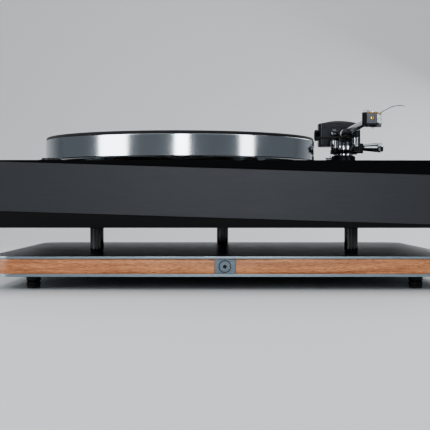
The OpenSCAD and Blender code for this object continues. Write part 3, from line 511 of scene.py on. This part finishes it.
def mat_felt():
    """A dense black felt and rubber mat: short fibres 0.4 mm apart that catch a little light at the rim."""
    def build(tree, shader):
        fibre = add(tree, "TexNoise", {"Vector": scaled(tree, [1 / (0.4 * MM)] * 3), "Scale": 1.0,
                                       "Detail": 3.0, "Roughness": 0.7})
        tree.links.new(between(tree, fibre.outputs["Fac"], "#0C0C0E", "#1D1D20", 0.3, 0.75),
                       shader.inputs["Base Color"])
        bumped(tree, shader, fibre.outputs["Fac"], 0.06)
    return finish("black_mat", build, Roughness=0.88, Sheen_Weight=0.12, Sheen_Roughness=0.5)


def polished(name, colour, roughness=0.09, metallic=1.0):
    """A polished metal or clear-coated part: nearly a mirror, with faint buffing swirls 3 mm across."""
    def build(tree, shader):
        swirl = add(tree, "TexNoise", {"Vector": scaled(tree, [1 / (3 * MM)] * 3), "Scale": 1.0,
                                       "Detail": 5.0, "Distortion": 1.5})
        tree.links.new(between(tree, swirl.outputs["Fac"], grey(roughness * 0.85), grey(roughness * 1.3),
                               0.35, 0.7), shader.inputs["Roughness"])
        shade = linear(colour)
        tree.links.new(between(tree, swirl.outputs["Fac"], tuple(0.93 * c for c in shade[:3]) + (1.0,),
                               shade),
                       shader.inputs["Base Color"])
    return finish(name, build, Metallic=metallic)


def circuit_board():
    """Solder mask over copper tracks 1.2 mm apart: green, with paler straight runs."""
    def build(tree, shader):
        brick = add(tree, "TexBrick", {"Vector": scaled(tree, [1 / (9 * MM)] * 3), "Scale": 1.0,
                                       "Mortar Size": 0.05, "Color1": linear("#1D5A3C"),
                                       "Color2": linear("#18502F"), "Mortar": linear("#3C8A5E")})
        tree.links.new(brick.outputs["Color"], shader.inputs["Base Color"])
    return finish("solder_mask", build, Roughness=0.35)


def gold():
    """Gold plate."""
    return polished("gold_plate_finish", colours().gold, 0.16)


def black_anodised():
    """Black anodised aluminium, finely blasted."""
    return blasted("black_anodised_aluminium", "#1B1C1F", metallic=0.75, roughness=0.36, depth=0.006)


def black_powder_coat():
    """Black powder coat, with its orange peel."""
    return blasted("black_powder_coat", "#1A1B1D", metallic=0.0, roughness=0.55, grain=0.5, depth=0.03)


def moulded_abs():
    """Black moulded plastic."""
    return blasted("moulded_abs", "#131314", metallic=0.0, roughness=0.33, grain=0.4, depth=0.012)


def zinc_steel():
    """Zinc-plated steel, as on fasteners."""
    return blasted("zinc_plated_steel", "#9A9C9E", roughness=0.28, grain=0.5, depth=0.006)


def bright_aluminium():
    """Polished aluminium."""
    return polished("polished_aluminium", "#C9CDD1", 0.12)


# ---- Pieces ----

def gather(parts):
    """Joins several (points, faces) pairs into one."""
    points, faces, start = [], [], 0
    for p, f in parts:
        points.append(np.asarray(p, float).reshape(-1, 3))
        faces += [[k + start for k in face] for face in f]
        start += len(points[-1])
    return np.concatenate(points), faces


def centres(node, reach=12):
    """The middles of the separate solids of a CAD node, seen from above, in millimetres."""
    co = np.array([v.co for v in frame["nodes"][node].data.vertices]) / MM
    found = []
    for x, y in co[:, :2]:
        if not any(math.hypot(x - a, y - b) < 2 * reach for a, b in found):
            near = co[np.hypot(co[:, 0] - x, co[:, 1] - y) < 2 * reach]
            found.append(tuple((near.max(0) + near.min(0))[:2] / 2))
    return found


class FeetOperator(bpy.types.Operator):
    """Turned feet with a waist, on round rubber pads"""
    bl_idname = "record_player.feet"
    bl_label = "Feet and pads"

    def execute(self, context):
        z0, z1 = low("feet")[2], high("feet")[2]
        r = 7.5
        foot = arcs([(0, z0), (r - 0.6, z0), (r, z0 + 0.8), (r, z0 + 3.2), (r - 0.9, z0 + 3.8),
                     (r - 0.9, z0 + 4.6),
                     (r, z0 + 5.2), (r, z1), (0, z1)], 0.35, 3, closed=False)
        pad = arcs([(0, 0), (r - 1.4, 0), (r - 0.8, 0.6), (r - 0.8, z0), (0, z0)], 0.3, 3, closed=False)
        places = centres("feet")
        points, faces = gather([turned(foot, (*p, 0)) for p in places])
        piece("turned_feet", points, faces, "plinth", black_anodised(), ["feet"])
        points, faces = gather([turned(pad, (*p, 0)) for p in places])
        piece("rubber_pads", points, faces, "plinth", rubber("foot_rubber"), ["foot_pads"])
        return {"FINISHED"}


class TierOperator(bpy.types.Operator):
    """The lower tier: two brushed plates, and a veneered band between them"""
    bl_idname = "record_player.tier"
    bl_label = "Lower tier"

    def execute(self, context):
        plate = brushed("brushed_tier_plate", colours().plate, roughness=0.34)
        for node in ("base_bottom_plate", "base_top_plate"):
            softened(node + "_brushed", node, "plinth", plate, 0.45)
        top = bpy.data.objects["base_top_plate_brushed"]
        top.data.materials.append(black_anodised())
        for face in top.data.polygons:
            face.material_index = 1 if face.normal.z > 0.9 else 0
        size = high("wood_frame") - low("wood_frame")
        z0, z1 = low("wood_frame")[2], high("wood_frame")[2]
        t = np.linspace(0, 1, 13)
        crown = sizes().wood_crown
        edge = 0.5 * (np.exp(-((t * (z1 - z0)) / 0.5)) + np.exp(-((1 - t) * (z1 - z0) / 0.5)))
        outer = np.stack([edge + crown * ((2 * t - 1) ** 2 - 1), z0 + t * (z1 - z0)], 1)
        outer[:, 0] -= outer[:, 0].min() - 0.02
        rail = 26 - 0.5
        profile = np.concatenate([outer, [(rail, z1), (rail, z0)]])
        points, faces, uv = layered(size[0] + 0.6, size[1] + 0.6, 24.8, profile, closed=True)
        piece("veneered_band", points, faces, "plinth", veneer(), ["wood_frame"], uv=uv)
        return {"FINISHED"}


class BadgeOperator(bpy.types.Operator):
    """A brushed badge with a plain ring and dot, pinned on the wooden band"""
    bl_idname = "record_player.badge"
    bl_label = "Badge"

    def execute(self, context):
        lo, hi = low("badge"), high("badge")
        w, h = hi[0] - lo[0], hi[2] - lo[2]
        t = hi[1] - lo[1] - 0.15
        points, faces, _ = layered(w, h, 1.0, [(0, 0), (0, t - 0.35), (0.12, t - 0.1), (0.35, t)])
        mid = middle("badge")
        stand = np.stack([points[:, 0] + mid[0], hi[1] - points[:, 2], points[:, 1] + mid[2]], 1)
        metal = brushed("brushed_badge", "#667078", roughness=0.34, spacing=0.3)
        piece("badge_plate", stand, faces, "plinth", metal, ["badge"])
        face = (mid[0], hi[1] - t, mid[2])
        ring = arcs([(5.5, 0), (5.5, 0.15), (6.3, 0.15), (6.3, 0)], 0.05, 2)
        dot = arcs([(0, 0), (1.9, 0), (1.9, 0.15), (0, 0.15)], 0.05, 2, closed=False)
        bar = [turned(ring, face, (0, -1, 0), 64, closed=True), turned(dot, face, (0, -1, 0), 48)]
        points, faces = gather(bar)
        piece("badge_ring", points, faces, "plinth", black_anodised())
        return {"FINISHED"}


class PillarOperator(bpy.types.Operator):
    """Three gloss pillars between rubber washers"""
    bl_idname = "record_player.pillars"
    bl_label = "Pillars"

    def execute(self, context):
        z0, z1 = low("pillars")[2], high("pillars")[2]
        r = 7.5
        profile = arcs([(3, z0), (r - 0.5, z0), (r, z0 + 0.6), (r, z1 - 0.6), (r - 0.5, z1), (3, z1)],
                       0.4, 3)
        places = centres("pillars")
        points, faces = gather([turned(profile, (*p, 0), steps=128, closed=True) for p in places])
        piece("gloss_pillars", points, faces, "plinth", gloss_black(), ["pillars"])
        lo, hi = low("pillar_washers")[2], high("pillar_washers")[2]
        parts = []
        for a, b in ((lo, z0), (z1, hi)):
            ring = arcs([(3, a), (r - 0.7, a), (r - 0.7, b), (3, b)], 0.4, 4)
            parts += [turned(ring, (*p, 0), closed=True) for p in places]
        points, faces = gather(parts)
        piece("isolation_rings", points, faces, "plinth", rubber("isolation_rubber"),
              ["pillar_washers"])
        return {"FINISHED"}


def gloss_black():
    """Black anodised aluminium under clear lacquer: black, with sharp, narrow highlights."""
    return polished("gloss_black_pillar", "#0A0A0C", 0.08, metallic=0.0)


class CaseOperator(bpy.types.Operator):
    """The lacquered plinth, its slanted fascia, whose dark grey is partly its own tone and partly painted
    light on the front facet, and its bottom cover
    """
    bl_idname = "record_player.case"
    bl_label = "Plinth"

    def execute(self, context):
        softened("lacquered_plinth", "plinth_body", "plinth", black_lacquer(), sizes().arris,
                 segments=3)
        # Painted light: the fascia's grey is partly its own tone and partly lightened to stand for the light
        # on its front facet, against the black lacquer of the bevels.
        fascia_with_painted_light = brushed("anodised_fascia_with_painted_light", colours().fascia, metallic=0.55, roughness=0.42,
                           depth=0.006, spread=0.05)
        softened("slanted_fascia", "front_fascia", "plinth", fascia_with_painted_light, 0.5)
        softened("coated_bottom_cover", "bottom_cover", "plinth",
                 black_powder_coat(), 0.3)
        return {"FINISHED"}


class ButtonOperator(bpy.types.Operator):
    """The dished power button in its bezel"""
    bl_idname = "record_player.button"
    bl_label = "Power button"

    def execute(self, context):
        place = middle("power_button")
        lo, hi = low("power_button"), high("power_button")
        r = (hi[0] - lo[0]) / 2
        a = np.linspace(0, np.pi / 2, 7)
        rim = np.stack([r - 1.0 + np.cos(a), hi[2] - 1.0 + np.sin(a)], 1)
        dish = [(r - 2.2, hi[2] - 0.1), (r * 0.6, hi[2] - 0.75), (r * 0.3, hi[2] - 1.0), (0, hi[2] - 1.1)]
        stem = [(0, lo[2]), (3, lo[2]), (3, hi[2] - 10), (r, hi[2] - 10)]
        profile = np.concatenate([stem, rim, dish])
        points, faces = turned(profile, (place[0], place[1], 0), steps=128)
        piece("dished_power_button", points, faces, "button", moulded_abs(),
              ["power_button"])
        z = high("button_bezel")[2]
        rb = (high("button_bezel")[0] - low("button_bezel")[0]) / 2
        deck = high("plinth_body")[2]
        ring = arcs([(r + 0.3, deck - 10), (r + 0.3, z), (rb - 0.7, z), (rb, deck + 0.02),
                     (r + 1.55, deck + 0.02), (r + 1.55, deck - 10)], 0.3, 3)
        points, faces = turned(ring, (place[0], place[1], 0), steps=128, closed=True)
        piece("button_ring", points, faces, "plinth", black_anodised(), ["button_bezel"])
        return {"FINISHED"}


class PlatterOperator(bpy.types.Operator):
    """The turned platter, its mat with fine rings, and the spindle's tip"""
    bl_idname = "record_player.platter"
    bl_label = "Platter and mat"

    def execute(self, context):
        lo, hi = low("platter"), high("platter")
        x, y = SPINDLE[:2]
        r, z0, z1 = (hi[0] - lo[0]) / 2, lo[2], hi[2]
        web, rim = z1 - 7.8, r - 17
        profile = arcs([(4.22, web), (30, web), (rim, web), (rim, z0), (r, z0), (r, z1), (4.22, z1)], 0.9, 5)
        steps = sizes().turns
        points, faces = turned(profile, (x, y, 0), steps=steps, closed=True)
        metal = lathe("turned_polished_aluminium", colours().platter, (x, y, 0), roughness=0.11)
        piece("turned_platter", points, faces, "platter", metal, ["platter"])
        z2 = high("platter_mat")[2]
        rm = (high("platter_mat")[0] - low("platter_mat")[0]) / 2
        radius = np.linspace(150, 53, 389)
        wave = sizes().mat_groove * np.maximum(0, np.cos(2 * np.pi * radius / 7)) ** 6
        rings = np.stack([radius, z2 - wave], 1)
        top = [(51.8, z2), (51, z2 - 0.1), (51, z2 - 0.7), (5, z2 - 0.7), (4.6, z2 - 0.9)]
        rim_arc = arcs([(rm, z1 + 0.01), (rm, z2 - 1.1), (rm - 1.1, z2), (152, z2)], 0.8, 5, closed=False)
        profile = np.concatenate([[(4.6, z1 + 0.01)], rim_arc, rings, top])
        points, faces = turned(profile, (x, y, 0), steps=steps // 2, closed=True)
        piece("ringed_mat", points, faces, "platter", mat_felt(), ["platter_mat"])
        softened("record_spindle", "spindle_shaft", "platter", bright_aluminium(), 0.15)
        return {"FINISHED"}


class BackPanelOperator(bpy.types.Operator):
    """Sockets, ground terminal and inlet on the recessed panel"""
    bl_idname = "record_player.back_panel"
    bl_label = "Back panel"

    def execute(self, context):
        face = high("socket_panel")[1]
        z = middle("socket_panel")[2]
        softened("coated_socket_panel", "socket_panel", "plinth",
                 black_powder_coat(), 0.3)
        lo, hi = low("signal_sockets"), high("signal_sockets")
        shells, collars = [], []
        for x, tint in ((lo[0] + 6, "#B7231F"), (hi[0] - 6, "#E8E6E0")):
            shell = arcs([(3, face - 8), (3, face), (6, face), (6, face + 2), (4.15, face + 2.2),
                          (4.15, hi[1]), (1.6, hi[1]), (1.6, face + 3), (0, face + 3)], 0.25, 3,
                         closed=False)
            shells.append(turned(np.concatenate([[(0, face - 8)], shell]), (x, 0, z), (0, 1, 0)))
            ring = arcs([(4.3, face + 2.1), (5.8, face + 2.1), (5.8, face + 3.6), (4.3, face + 3.6)], 0.3, 3)
            points, faces = turned(ring, (x, 0, z), (0, 1, 0), closed=True)
            collars.append(piece("socket_collar_" + ("red" if tint[1] == "B" else "white"), points, faces,
                                 "plinth",
                                 blasted("moulded_collar_" + tint[1:], tint, 0.0, 0.4, 0.4, 0.01)))
        points, faces = gather(shells)
        piece("gold_signal_sockets", points, faces, "plinth", gold(), ["signal_sockets"])
        g = middle("ground_terminal")
        stud = arcs([(0, face - 6), (3, face - 6), (3, face), (2, face + 0.1), (2, face + 11),
                     (0, face + 11)],
                    0.3, 3, closed=False)
        points, faces = turned(stud, (g[0], 0, z), (0, 1, 0), 64)
        piece("ground_stud", points, faces, "plinth", zinc_steel(), ["ground_terminal"])
        knurled("ground_nut", (g[0], face + 3, z), (0, 1, 0), 5, 5, "plinth", zinc_steel())
        softened("moulded_inlet", "power_inlet", "plinth", moulded_abs(), 0.25)
        return {"FINISHED"}


class ArmBaseOperator(bpy.types.Operator):
    """Armboard, collar, pillar, bracket, lift rail, rest and dial"""
    bl_idname = "record_player.arm_base"
    bl_label = "Tonearm base"

    def posts(self):
        """Place, radius and height range of the bright sleeves on the lift's and the rest's posts."""
        a = math.radians(20)
        plate = low("lift_bracket")[2] + 5
        tower = (PIVOT[0] - 45 * math.sin(a), PIVOT[1] - 45 * math.cos(a))
        rest = (PIVOT[0] + 7.3, PIVOT[1] - 62)
        return ((tower, 5, plate, high("lift_bracket")[2] - 0.6),
                (rest, 3.2, plate + 1.2, low("arm_rest")[2] + 17))

    def execute(self, context):
        black, fine = black_anodised(), sizes().fine_arris
        softened("satin_armboard", "armboard", "plinth", black, 0.4)
        softened("satin_collar", "arm_collar", "plinth", black, 0.4)
        column = lathe("turned_column", "#C6CACE", (PIVOT[0], PIVOT[1], 0), roughness=0.12, spacing=0.7)
        z0, zh, z1 = low("arm_pillar")[2], high("arm_pillar")[2] - 12, high("arm_pillar")[2]
        r, head = 10, 12.5
        profile = arcs([(6, z0), (r, z0), (r, zh), (head, zh), (head, z1 - 8.4), (head - 0.7, z1 - 8),
                        (head - 0.7, z1 - 7.4), (head, z1 - 7), (head, z1), (3.05, z1), (3.05, z1 - 14),
                        (6, zh - 8)], 0.35, 3)
        points, faces = turned(profile, (PIVOT[0], PIVOT[1], 0), steps=128, closed=True)
        piece("turned_column", points, faces, "arm_column", column, ["arm_pillar"])
        lo, hi = low("collar_screw"), high("collar_screw")
        mid = middle("collar_screw")
        knurled("collar_thumbscrew", (hi[0] - 5, mid[1], mid[2]), (-1, 0, 0), 4, hi[0] - 5 - lo[0], "plinth",
                bright_aluminium())
        frame["nodes"]["collar_screw"].data.materials[0] = bright_aluminium()
        softened("anodised_bracket", "lift_bracket", "arm_column", black, fine)
        softened("padded_rest", "arm_rest", "arm_column", black, fine)
        chrome = polished("dark_chrome_sleeve", "#85898E", 0.1)
        sleeves = []
        for (x, y), r, z0, z1 in self.posts():
            ring = arcs([(r, z0), (r + 0.35, z0), (r + 0.35, z1), (r, z1)], 0.15, 3)
            sleeves.append(turned(ring, (x, y, 0), closed=True))
        points, faces = gather(sleeves)
        piece("chrome_post_sleeves", points, faces, "arm_column", chrome)
        softened("coated_lift_rail", "lift_rail", "lift", rubber("lift_rubber"), fine)
        dial = joint("bias_dial_turn")
        top = high("bias_dial")[2]
        knurled("bias_knob", (dial[0], dial[1], top - 5), (0, 0, 1), 7, 5, "bias", black,
                dish=0.5)
        points, faces = turned(arcs([(0, top - 0.6), (0.7, top - 0.6), (0.7, top - 0.3), (0, top - 0.3)],
                                    0.1, 2,
                                    closed=False), (dial[0], dial[1] - 4.2, 0), steps=24)
        piece("bias_dot", points, faces, "bias", blasted("white_enamel_dot", "#E4E4E0", 0.0, 0.4))
        frame["nodes"]["bias_dial"].data.materials[0] = black
        return {"FINISHED"}


class CueLeverOperator(bpy.types.Operator):
    """The tapered cue lever with a bright knurled ring and a ball-ended finger"""
    bl_idname = "record_player.cue_lever"
    bl_label = "Cue lever"

    def execute(self, context):
        lo, hi = low("cue_lever"), high("cue_lever")
        _, y, z = joint("cue_lever_turn")
        start = hi[0] - lo[0] - 25
        profile = arcs([(0, 0), (2, 0), (2, start), (3.9, start), (4.2, start + 2), (5.8, start + 17.4),
                        (5.0, start + 18), (5.0, start + 22), (5.2, start + 22.3), (5.2, start + 24.6),
                        (4.4, start + 25), (0, start + 25)], 0.4, 3, closed=False)
        points, faces = turned(profile, (lo[0], y, z), (1, 0, 0), 96)
        piece("tapered_lever", points, faces, "lever",
              lathe("turned_lever", "#7F858B", (0, y, z), "X", 0.22), ["cue_lever"])
        knurled("lever_ring", (lo[0] + start + 18, y, z), (1, 0, 0), 6.2, 4, "lever", bright_aluminium())
        x = lo[0] + start + 20
        path = np.array([[x, y - 4, z], [x, y - 12, z], [x, y - 22.5, z]])
        a = np.linspace(0, np.pi, 13)
        ball = np.stack([2.1 * np.sin(a), -2.1 * np.cos(a)], 1)
        parts = [tube(smooth_path(path, 6), 1.25), turned(ball, (x, y - 24, z), (0, -1, 0), 32)]
        points, faces = gather(parts)
        piece("lever_finger", points, faces, "lever", bright_aluminium())
        return {"FINISHED"}


class ArmOperator(bpy.types.Operator):
    """Yoke, hub, tapered tube and rear shaft"""
    bl_idname = "record_player.arm"
    bl_label = "Tonearm"

    def execute(self, context):
        dark = blasted("dark_anodised_yoke", "#45494F", metallic=0.85, roughness=0.3, depth=0.006)
        softened("machined_yoke", "yoke", "swivel", dark, 0.5, segments=3)
        softened("machined_hub", "arm_hub", "arm", black_anodised(), 0.4, segments=3)
        lo, hi = low("arm_tube"), high("arm_tube")
        rear, front = (hi[0] - lo[0]) / 2, 3.6
        t = np.linspace(0, 1, 24)
        side = np.stack([rear + (front - rear) * t, hi[1] - t * (hi[1] - lo[1])], 1)
        profile = np.concatenate([[(rear - 0.9, hi[1])], side, [(front - 0.9, lo[1])]])
        points, faces = turned(profile, (PIVOT[0], 0, PIVOT[2]), (0, 1, 0), 96, closed=True)
        piece("tapered_tube", points, faces, "arm", polished("dark_polished_tube", "#868C94", 0.1),
              ["arm_tube"])
        ring = arcs([(rear - 0.3, -1.6), (rear + 0.9, -1.6), (rear + 0.9, 1.6), (rear - 0.3, 1.6)], 0.4, 3)
        points, faces = turned(ring, (PIVOT[0], PIVOT[1] - 12.2, PIVOT[2]), (0, 1, 0), 96, closed=True)
        piece("tube_ferrule", points, faces, "arm", polished("dark_chromed_ring", "#6E7278"))
        softened("ground_rear_shaft", "weight_shaft", "arm",
                 lathe("turned_rear_shaft", "#B4B8BC", (PIVOT[0], 0, PIVOT[2]), "Y", 0.2), 0.3)
        return {"FINISHED"}


def headshell_frame():
    """The cartridge's own frame: a function from its millimetres (across, along, height) to the row's.

    Its origin is the middle of the cartridge's body, and its height is the row's.
    """
    a = -HEADSHELL_ANGLE
    mid = middle("gold_plate")

    def place(points):
        p = np.atleast_2d(np.asarray(points, float))
        x = p[:, 0] * math.cos(a) - p[:, 1] * math.sin(a)
        y = p[:, 0] * math.sin(a) + p[:, 1] * math.cos(a)
        return np.stack([x + mid[0], y + mid[1], p[:, 2]], 1)
    return place


class HeadshellOperator(bpy.types.Operator):
    """Headshell, gold top plate, cartridge, stylus, leads and finger lift"""
    bl_idname = "record_player.headshell"
    bl_label = "Headshell and cartridge"

    def execute(self, context):
        fine = sizes().fine_arris
        place = headshell_frame()
        softened("machined_headshell", "headshell", "arm", black_anodised(), fine)
        softened("gold_top_plate", "gold_plate", "arm", gold(), 0.2)
        grey_body = blasted("satin_cartridge_body", "#66696E", metallic=0.8, roughness=0.34, depth=0.006)
        softened("satin_cartridge", "cartridge", "arm", grey_body, 0.35, segments=3)
        softened("moulded_stylus_holder", "stylus_holder", "arm", moulded_abs(), 0.2)
        z0, z1 = low("cartridge")[2], high("cartridge")[2]
        half_w, half_l = 5.6, 8.75
        front = place([(0.2, -half_l - 0.0, z1 - 4.6)])[0]
        out = place([(0, -1, 0)])[0] - place([(0, 0, 0)])[0]
        stud = arcs([(0, -0.4), (1.5, -0.4), (1.5, 0.25), (0, 0.45)], 0.2, 3, closed=False)
        points, faces = turned(stud, front, out, 48)
        piece("gold_front_stud", points, faces, "arm", gold())
        ribs = []
        for y in np.linspace(-7.6, 7.4, 9):
            path = place([(half_w, y, z) for z in (z0 + 3.6, z0 + 6, z1 - 3, z1 - 0.6)])
            ribs.append(tube(path, 0.62, 12))
        points, faces = gather(ribs)
        piece("cartridge_ribs", points, faces, "arm", bright_aluminium())
        back = half_l + 2.2
        for k, (x, z, tint) in enumerate(((2.2, 4, "#B02A26"), (2.2, 9, "#E6E6E2"), (4.6, 4, "#2F7A3E"),
                                          (4.6, 9, "#2A4F9C"))):
            path = place([(x, back - 1.4, z0 + z), (x, back + 2.2, z0 + z),
                          (x - 0.5, back + 6, z0 + z + 0.5),
                          (x - 3, back + 9, PIVOT[2] + 1.6 * k - 3),
                          (-7.2, back + 10.5, PIVOT[2] + k - 1.5)])
            points, faces = tube(smooth_path(path, 8), 0.32, 10)
            piece(f"cartridge_lead_{k + 1}", points, faces, "arm",
                  blasted("lead_" + tint[1:], tint, 0.0, 0.45, 0.3, 0.005))
        t = np.linspace(0, 1, 40)
        x = half_w + 0.2 + 26.6 * t
        z = high("gold_plate")[2] - 0.6 + 7.2 * np.sin(np.radians(120 * t))
        path = place(np.stack([x, -2 + 0 * t, z], 1))
        radius = 0.95 - 0.35 * t + 0.45 * np.exp(-((t - 1) / 0.02) ** 2)
        points, faces = tube(path, radius, 20)
        piece("bent_finger_lift", points, faces, "arm", bright_aluminium(), ["finger_lift"])
        light = blasted("light_anodised_clamp", "#C2C6C9", metallic=0.8, roughness=0.35)
        lug = high("headshell")[2]
        plan = rounded_outline(5.3, 12.6, 0.7, 0.0, 5, 4)
        slab = np.concatenate([np.column_stack([plan * s, np.full(len(plan), h)]) for s, h in
                               ((1.0, lug - 2.7), (1.0, lug + 0.1), (0.95, lug + 0.3))])
        points = place(slab + (-half_w - 2.6, -2.0, 0))
        piece("azimuth_clamp", points, capped_faces(3, len(plan)), "arm", light)
        return {"FINISHED"}


class CounterweightOperator(bpy.types.Operator):
    """The domed counterweight with slotted faces, and its knurled knob"""
    bl_idname = "record_player.counterweight"
    bl_label = "Counterweight"

    def execute(self, context):
        lo, hi = low("counterweight"), high("counterweight")
        mid = (lo + hi) / 2
        w, d = hi[0] - lo[0], hi[1] - lo[1]
        shoulder = lo[2] + 30
        slots = [lo[2] + 5.4, lo[2] + 9.8, lo[2] + 24.2]
        levels = [(0.8, lo[2], 0), (0.25, lo[2] + 0.25, 0), (0, lo[2] + 0.8, 0)]
        for z in slots:
            levels += [(0, z, 0), (0, z + 0.01, 1), (0, z + 1.1, 1), (0, z + 1.11, 0)]
        levels += [(0, shoulder - 0.8, 0), (0.3, shoulder - 0.2, 0), (0.9, shoulder, 0)]
        rings = []
        for inset, z, slot in levels:
            ring = rounded_outline(w, d, 6, inset, 14, 30)
            flat = np.abs(ring[:, 0]) < w / 2 - 6.6
            ring[:, 1] -= slot * 1.1 * flat * np.sign(ring[:, 1])
            rings.append(np.column_stack([ring, np.full(len(ring), z)]))
        for t in np.linspace(0.05, 1, 9):
            ring = rounded_outline(w, d, 6, 1.2, 14, 30)
            shrink = math.cos(t * math.pi / 2)
            ring = ring * max(shrink, 0.001) ** 0.8
            rise = (hi[2] - shoulder) * (1 - (ring[:, 0] / (w / 2)) ** 2) * math.sin(t * math.pi / 2)
            rings.append(np.column_stack([ring, shoulder + rise]))
        points = np.concatenate(rings)
        points[:, :2] += mid[:2]
        faces = capped_faces(len(rings), len(rings[0]))
        grey_block = blasted("blasted_weight_block", "#2E3034", metallic=0.85, roughness=0.38, depth=0.01)
        piece("domed_counterweight", points, faces, "weight", grey_block, ["counterweight"])
        k0 = low("weight_knob")
        km = middle("weight_knob")
        knurled("weight_thumbscrew", (lo[0] - 0.4, km[1], km[2]), (-1, 0, 0), 7.2, lo[0] - 0.4 - k0[0],
                "weight_lock", black_anodised(), ["weight_knob"], dish=0.6)
        return {"FINISHED"}


class InnerOperator(bpy.types.Operator):
    """Finishes of the frame's own pieces: fasteners, motor, bearing, board and leads"""
    bl_idname = "record_player.inner"
    bl_label = "Inner pieces and fasteners"

    def execute(self, context):
        steel, metal = zinc_steel(), bright_aluminium()
        looks = {
            "base_core": blasted("raw_fibreboard", "#6B5846", 0.0, 0.8, 0.8, 0.05),
            "case_screws": black_anodised(), "pillar_studs": steel, "armboard_screws": steel,
            "headshell_screws": metal, "pivot_screws": metal, "cantilever": metal, "thrust_ball": metal,
            "motor_shaft": steel, "motor_can": steel, "motor_mount": rubber("motor_rubber"),
            "drive_belt": rubber("belt_rubber", "#101011", 0.6),
            "motor_pulley": lathe("turned_brass", "#C2A05A", tuple(middle("motor_pulley")[:2]) + (0,)),
            "bearing_housing": lathe("turned_housing", "#A4A9AE", (*SPINDLE[:2], 0), roughness=0.25),
            "bearing_cap": lathe("turned_housing", "#A4A9AE", (*SPINDLE[:2], 0), roughness=0.25),
            "bearing_bushes": lathe("sintered_bronze", "#8E6A3A", (*SPINDLE[:2], 0), roughness=0.35),
            "sub_platter": lathe("turned_acetal", "#202123", (*SPINDLE[:2], 0), roughness=0.4, metallic=0.0),
            "inner_leads": rubber("lead_sheath", "#1A1A1B", 0.55),
            "control_board": circuit_board(),
            "switch_block": blasted("moulded_switch", "#C9C8BF", 0.0, 0.45),
        }
        for node, look in looks.items():
            slots = frame["nodes"][node].data.materials
            slots.clear()
            slots.append(look)
        return {"FINISHED"}


class StageOperator(bpy.types.Operator):
    """A pale floor that curves up behind, soft lights, and a level camera in front"""
    bl_idname = "record_player.stage"
    bl_label = "Stage, lights and camera"

    def execute(self, context):
        scene = context.scene
        a = np.linspace(0, np.pi / 2, 16)
        line = np.concatenate([[(-4000, 0)], np.stack([900 + 900 * np.sin(a), 900 - 900 * np.cos(a)], 1),
                               [(1800, 4000)]])
        x = np.array([-4000.0, 4000.0])
        grid = np.stack([np.tile(x, len(line)), np.repeat(line[:, 0], 2), np.repeat(line[:, 1], 2)], 1)
        mesh = bpy.data.meshes.new("backdrop")
        mesh.from_pydata(grid * MM, [], grid_faces(len(line), 2, wrap_columns=False).tolist())
        mesh.shade_smooth()
        floor = bpy.data.objects.new("backdrop", mesh)
        scene.collection.objects.link(floor)
        mesh.materials.append(finish("pale_paper", lambda tree, shader: None, Roughness=0.8,
                                     Base_Color=linear("#D2D4D6")))
        lights = (
            ("overhead", (0.0, 0.2, 1.8), (0, 0, 0), (2.2, 1.4), 22),
            ("left_box", (-1.31, -0.99, 0.62), (-0.05, -0.17, 0.2), (0.75, 1.2), 17),
            ("right_box", (1.25, -0.92, 0.6), (-0.05, -0.17, 0.2), (0.35, 1.1), 6),
            ("front_strip", (0.06, -2.25, 0.62), (0.0, -0.17, 0.2), (0.42, 1.1), 11),
            ("rear_rim", (0.9, 1.2, 0.9), (0.1, 0, 0.15), (0.8, 0.8), 7),
        )
        for name, where, target, size, power in lights:
            lamp = bpy.data.lights.new(name, "AREA")
            lamp.shape = "RECTANGLE"
            lamp.size, lamp.size_y = size
            lamp.energy = power
            thing = bpy.data.objects.new(name, lamp)
            thing.location = where
            aim = (Vector(target) - Vector(where)).to_track_quat("-Z", "Y")
            thing.rotation_euler = aim.to_euler()
            scene.collection.objects.link(thing)
        world = bpy.data.worlds.new("soft_room")
        world.use_nodes = True
        world.node_tree.nodes["Background"].inputs["Color"].default_value = linear("#C9CFD6")
        world.node_tree.nodes["Background"].inputs["Strength"].default_value = 0.3
        scene.world = world
        scene.view_settings.view_transform = "AgX"
        scene.view_settings.look = "AgX - Medium High Contrast"
        camera = bpy.data.cameras.new("camera")
        camera.sensor_width = 36
        camera.lens = 85.4
        camera.shift_y = -0.028
        camera.clip_start, camera.clip_end = 0.01, 50
        view = bpy.data.objects.new("camera", camera)
        view.location = (-0.0099, -1.21, 0.088)
        view.rotation_euler = (math.radians(90), 0, 0)
        scene.collection.objects.link(view)
        scene.camera = view
        return {"FINISHED"}


OPERATORS = (
    FeetOperator, TierOperator, BadgeOperator, PillarOperator, CaseOperator, ButtonOperator,
    PlatterOperator, BackPanelOperator, ArmBaseOperator, CueLeverOperator, ArmOperator,
    HeadshellOperator, CounterweightOperator, InnerOperator, StageOperator,
)


class RecordPlayerPanel(bpy.types.Panel):
    """Lists the sizes, the colours and every piece's operator"""
    bl_idname = "VIEW3D_PT_record_player"
    bl_label = "Record Player"
    bl_space_type = "VIEW_3D"
    bl_region_type = "UI"
    bl_category = "Record Player"

    def draw(self, context):
        for group in (sizes(), colours()):
            box = self.layout.box()
            for name in group.__annotations__:
                box.prop(group, name)
        for operator in OPERATORS:
            self.layout.operator(operator.bl_idname)


CLASSES = (RecordPlayerSizes, RecordPlayerColours, *OPERATORS, RecordPlayerPanel)


def register():
    """Registers every class and the two property groups."""
    for item in CLASSES:
        bpy.utils.register_class(item)
    bpy.types.Scene.record_player_sizes = bpy.props.PointerProperty(type=RecordPlayerSizes)
    bpy.types.Scene.record_player_colours = bpy.props.PointerProperty(type=RecordPlayerColours)


def unregister():
    """Removes what register() added."""
    del bpy.types.Scene.record_player_colours
    del bpy.types.Scene.record_player_sizes
    for item in reversed(CLASSES):
        bpy.utils.unregister_class(item)


def main():
    """Builds everything."""
    register()
    for operator in OPERATORS:
        group, name = operator.bl_idname.split(".")
        getattr(getattr(bpy.ops, group), name)()


if __name__ == "__main__":
    main()
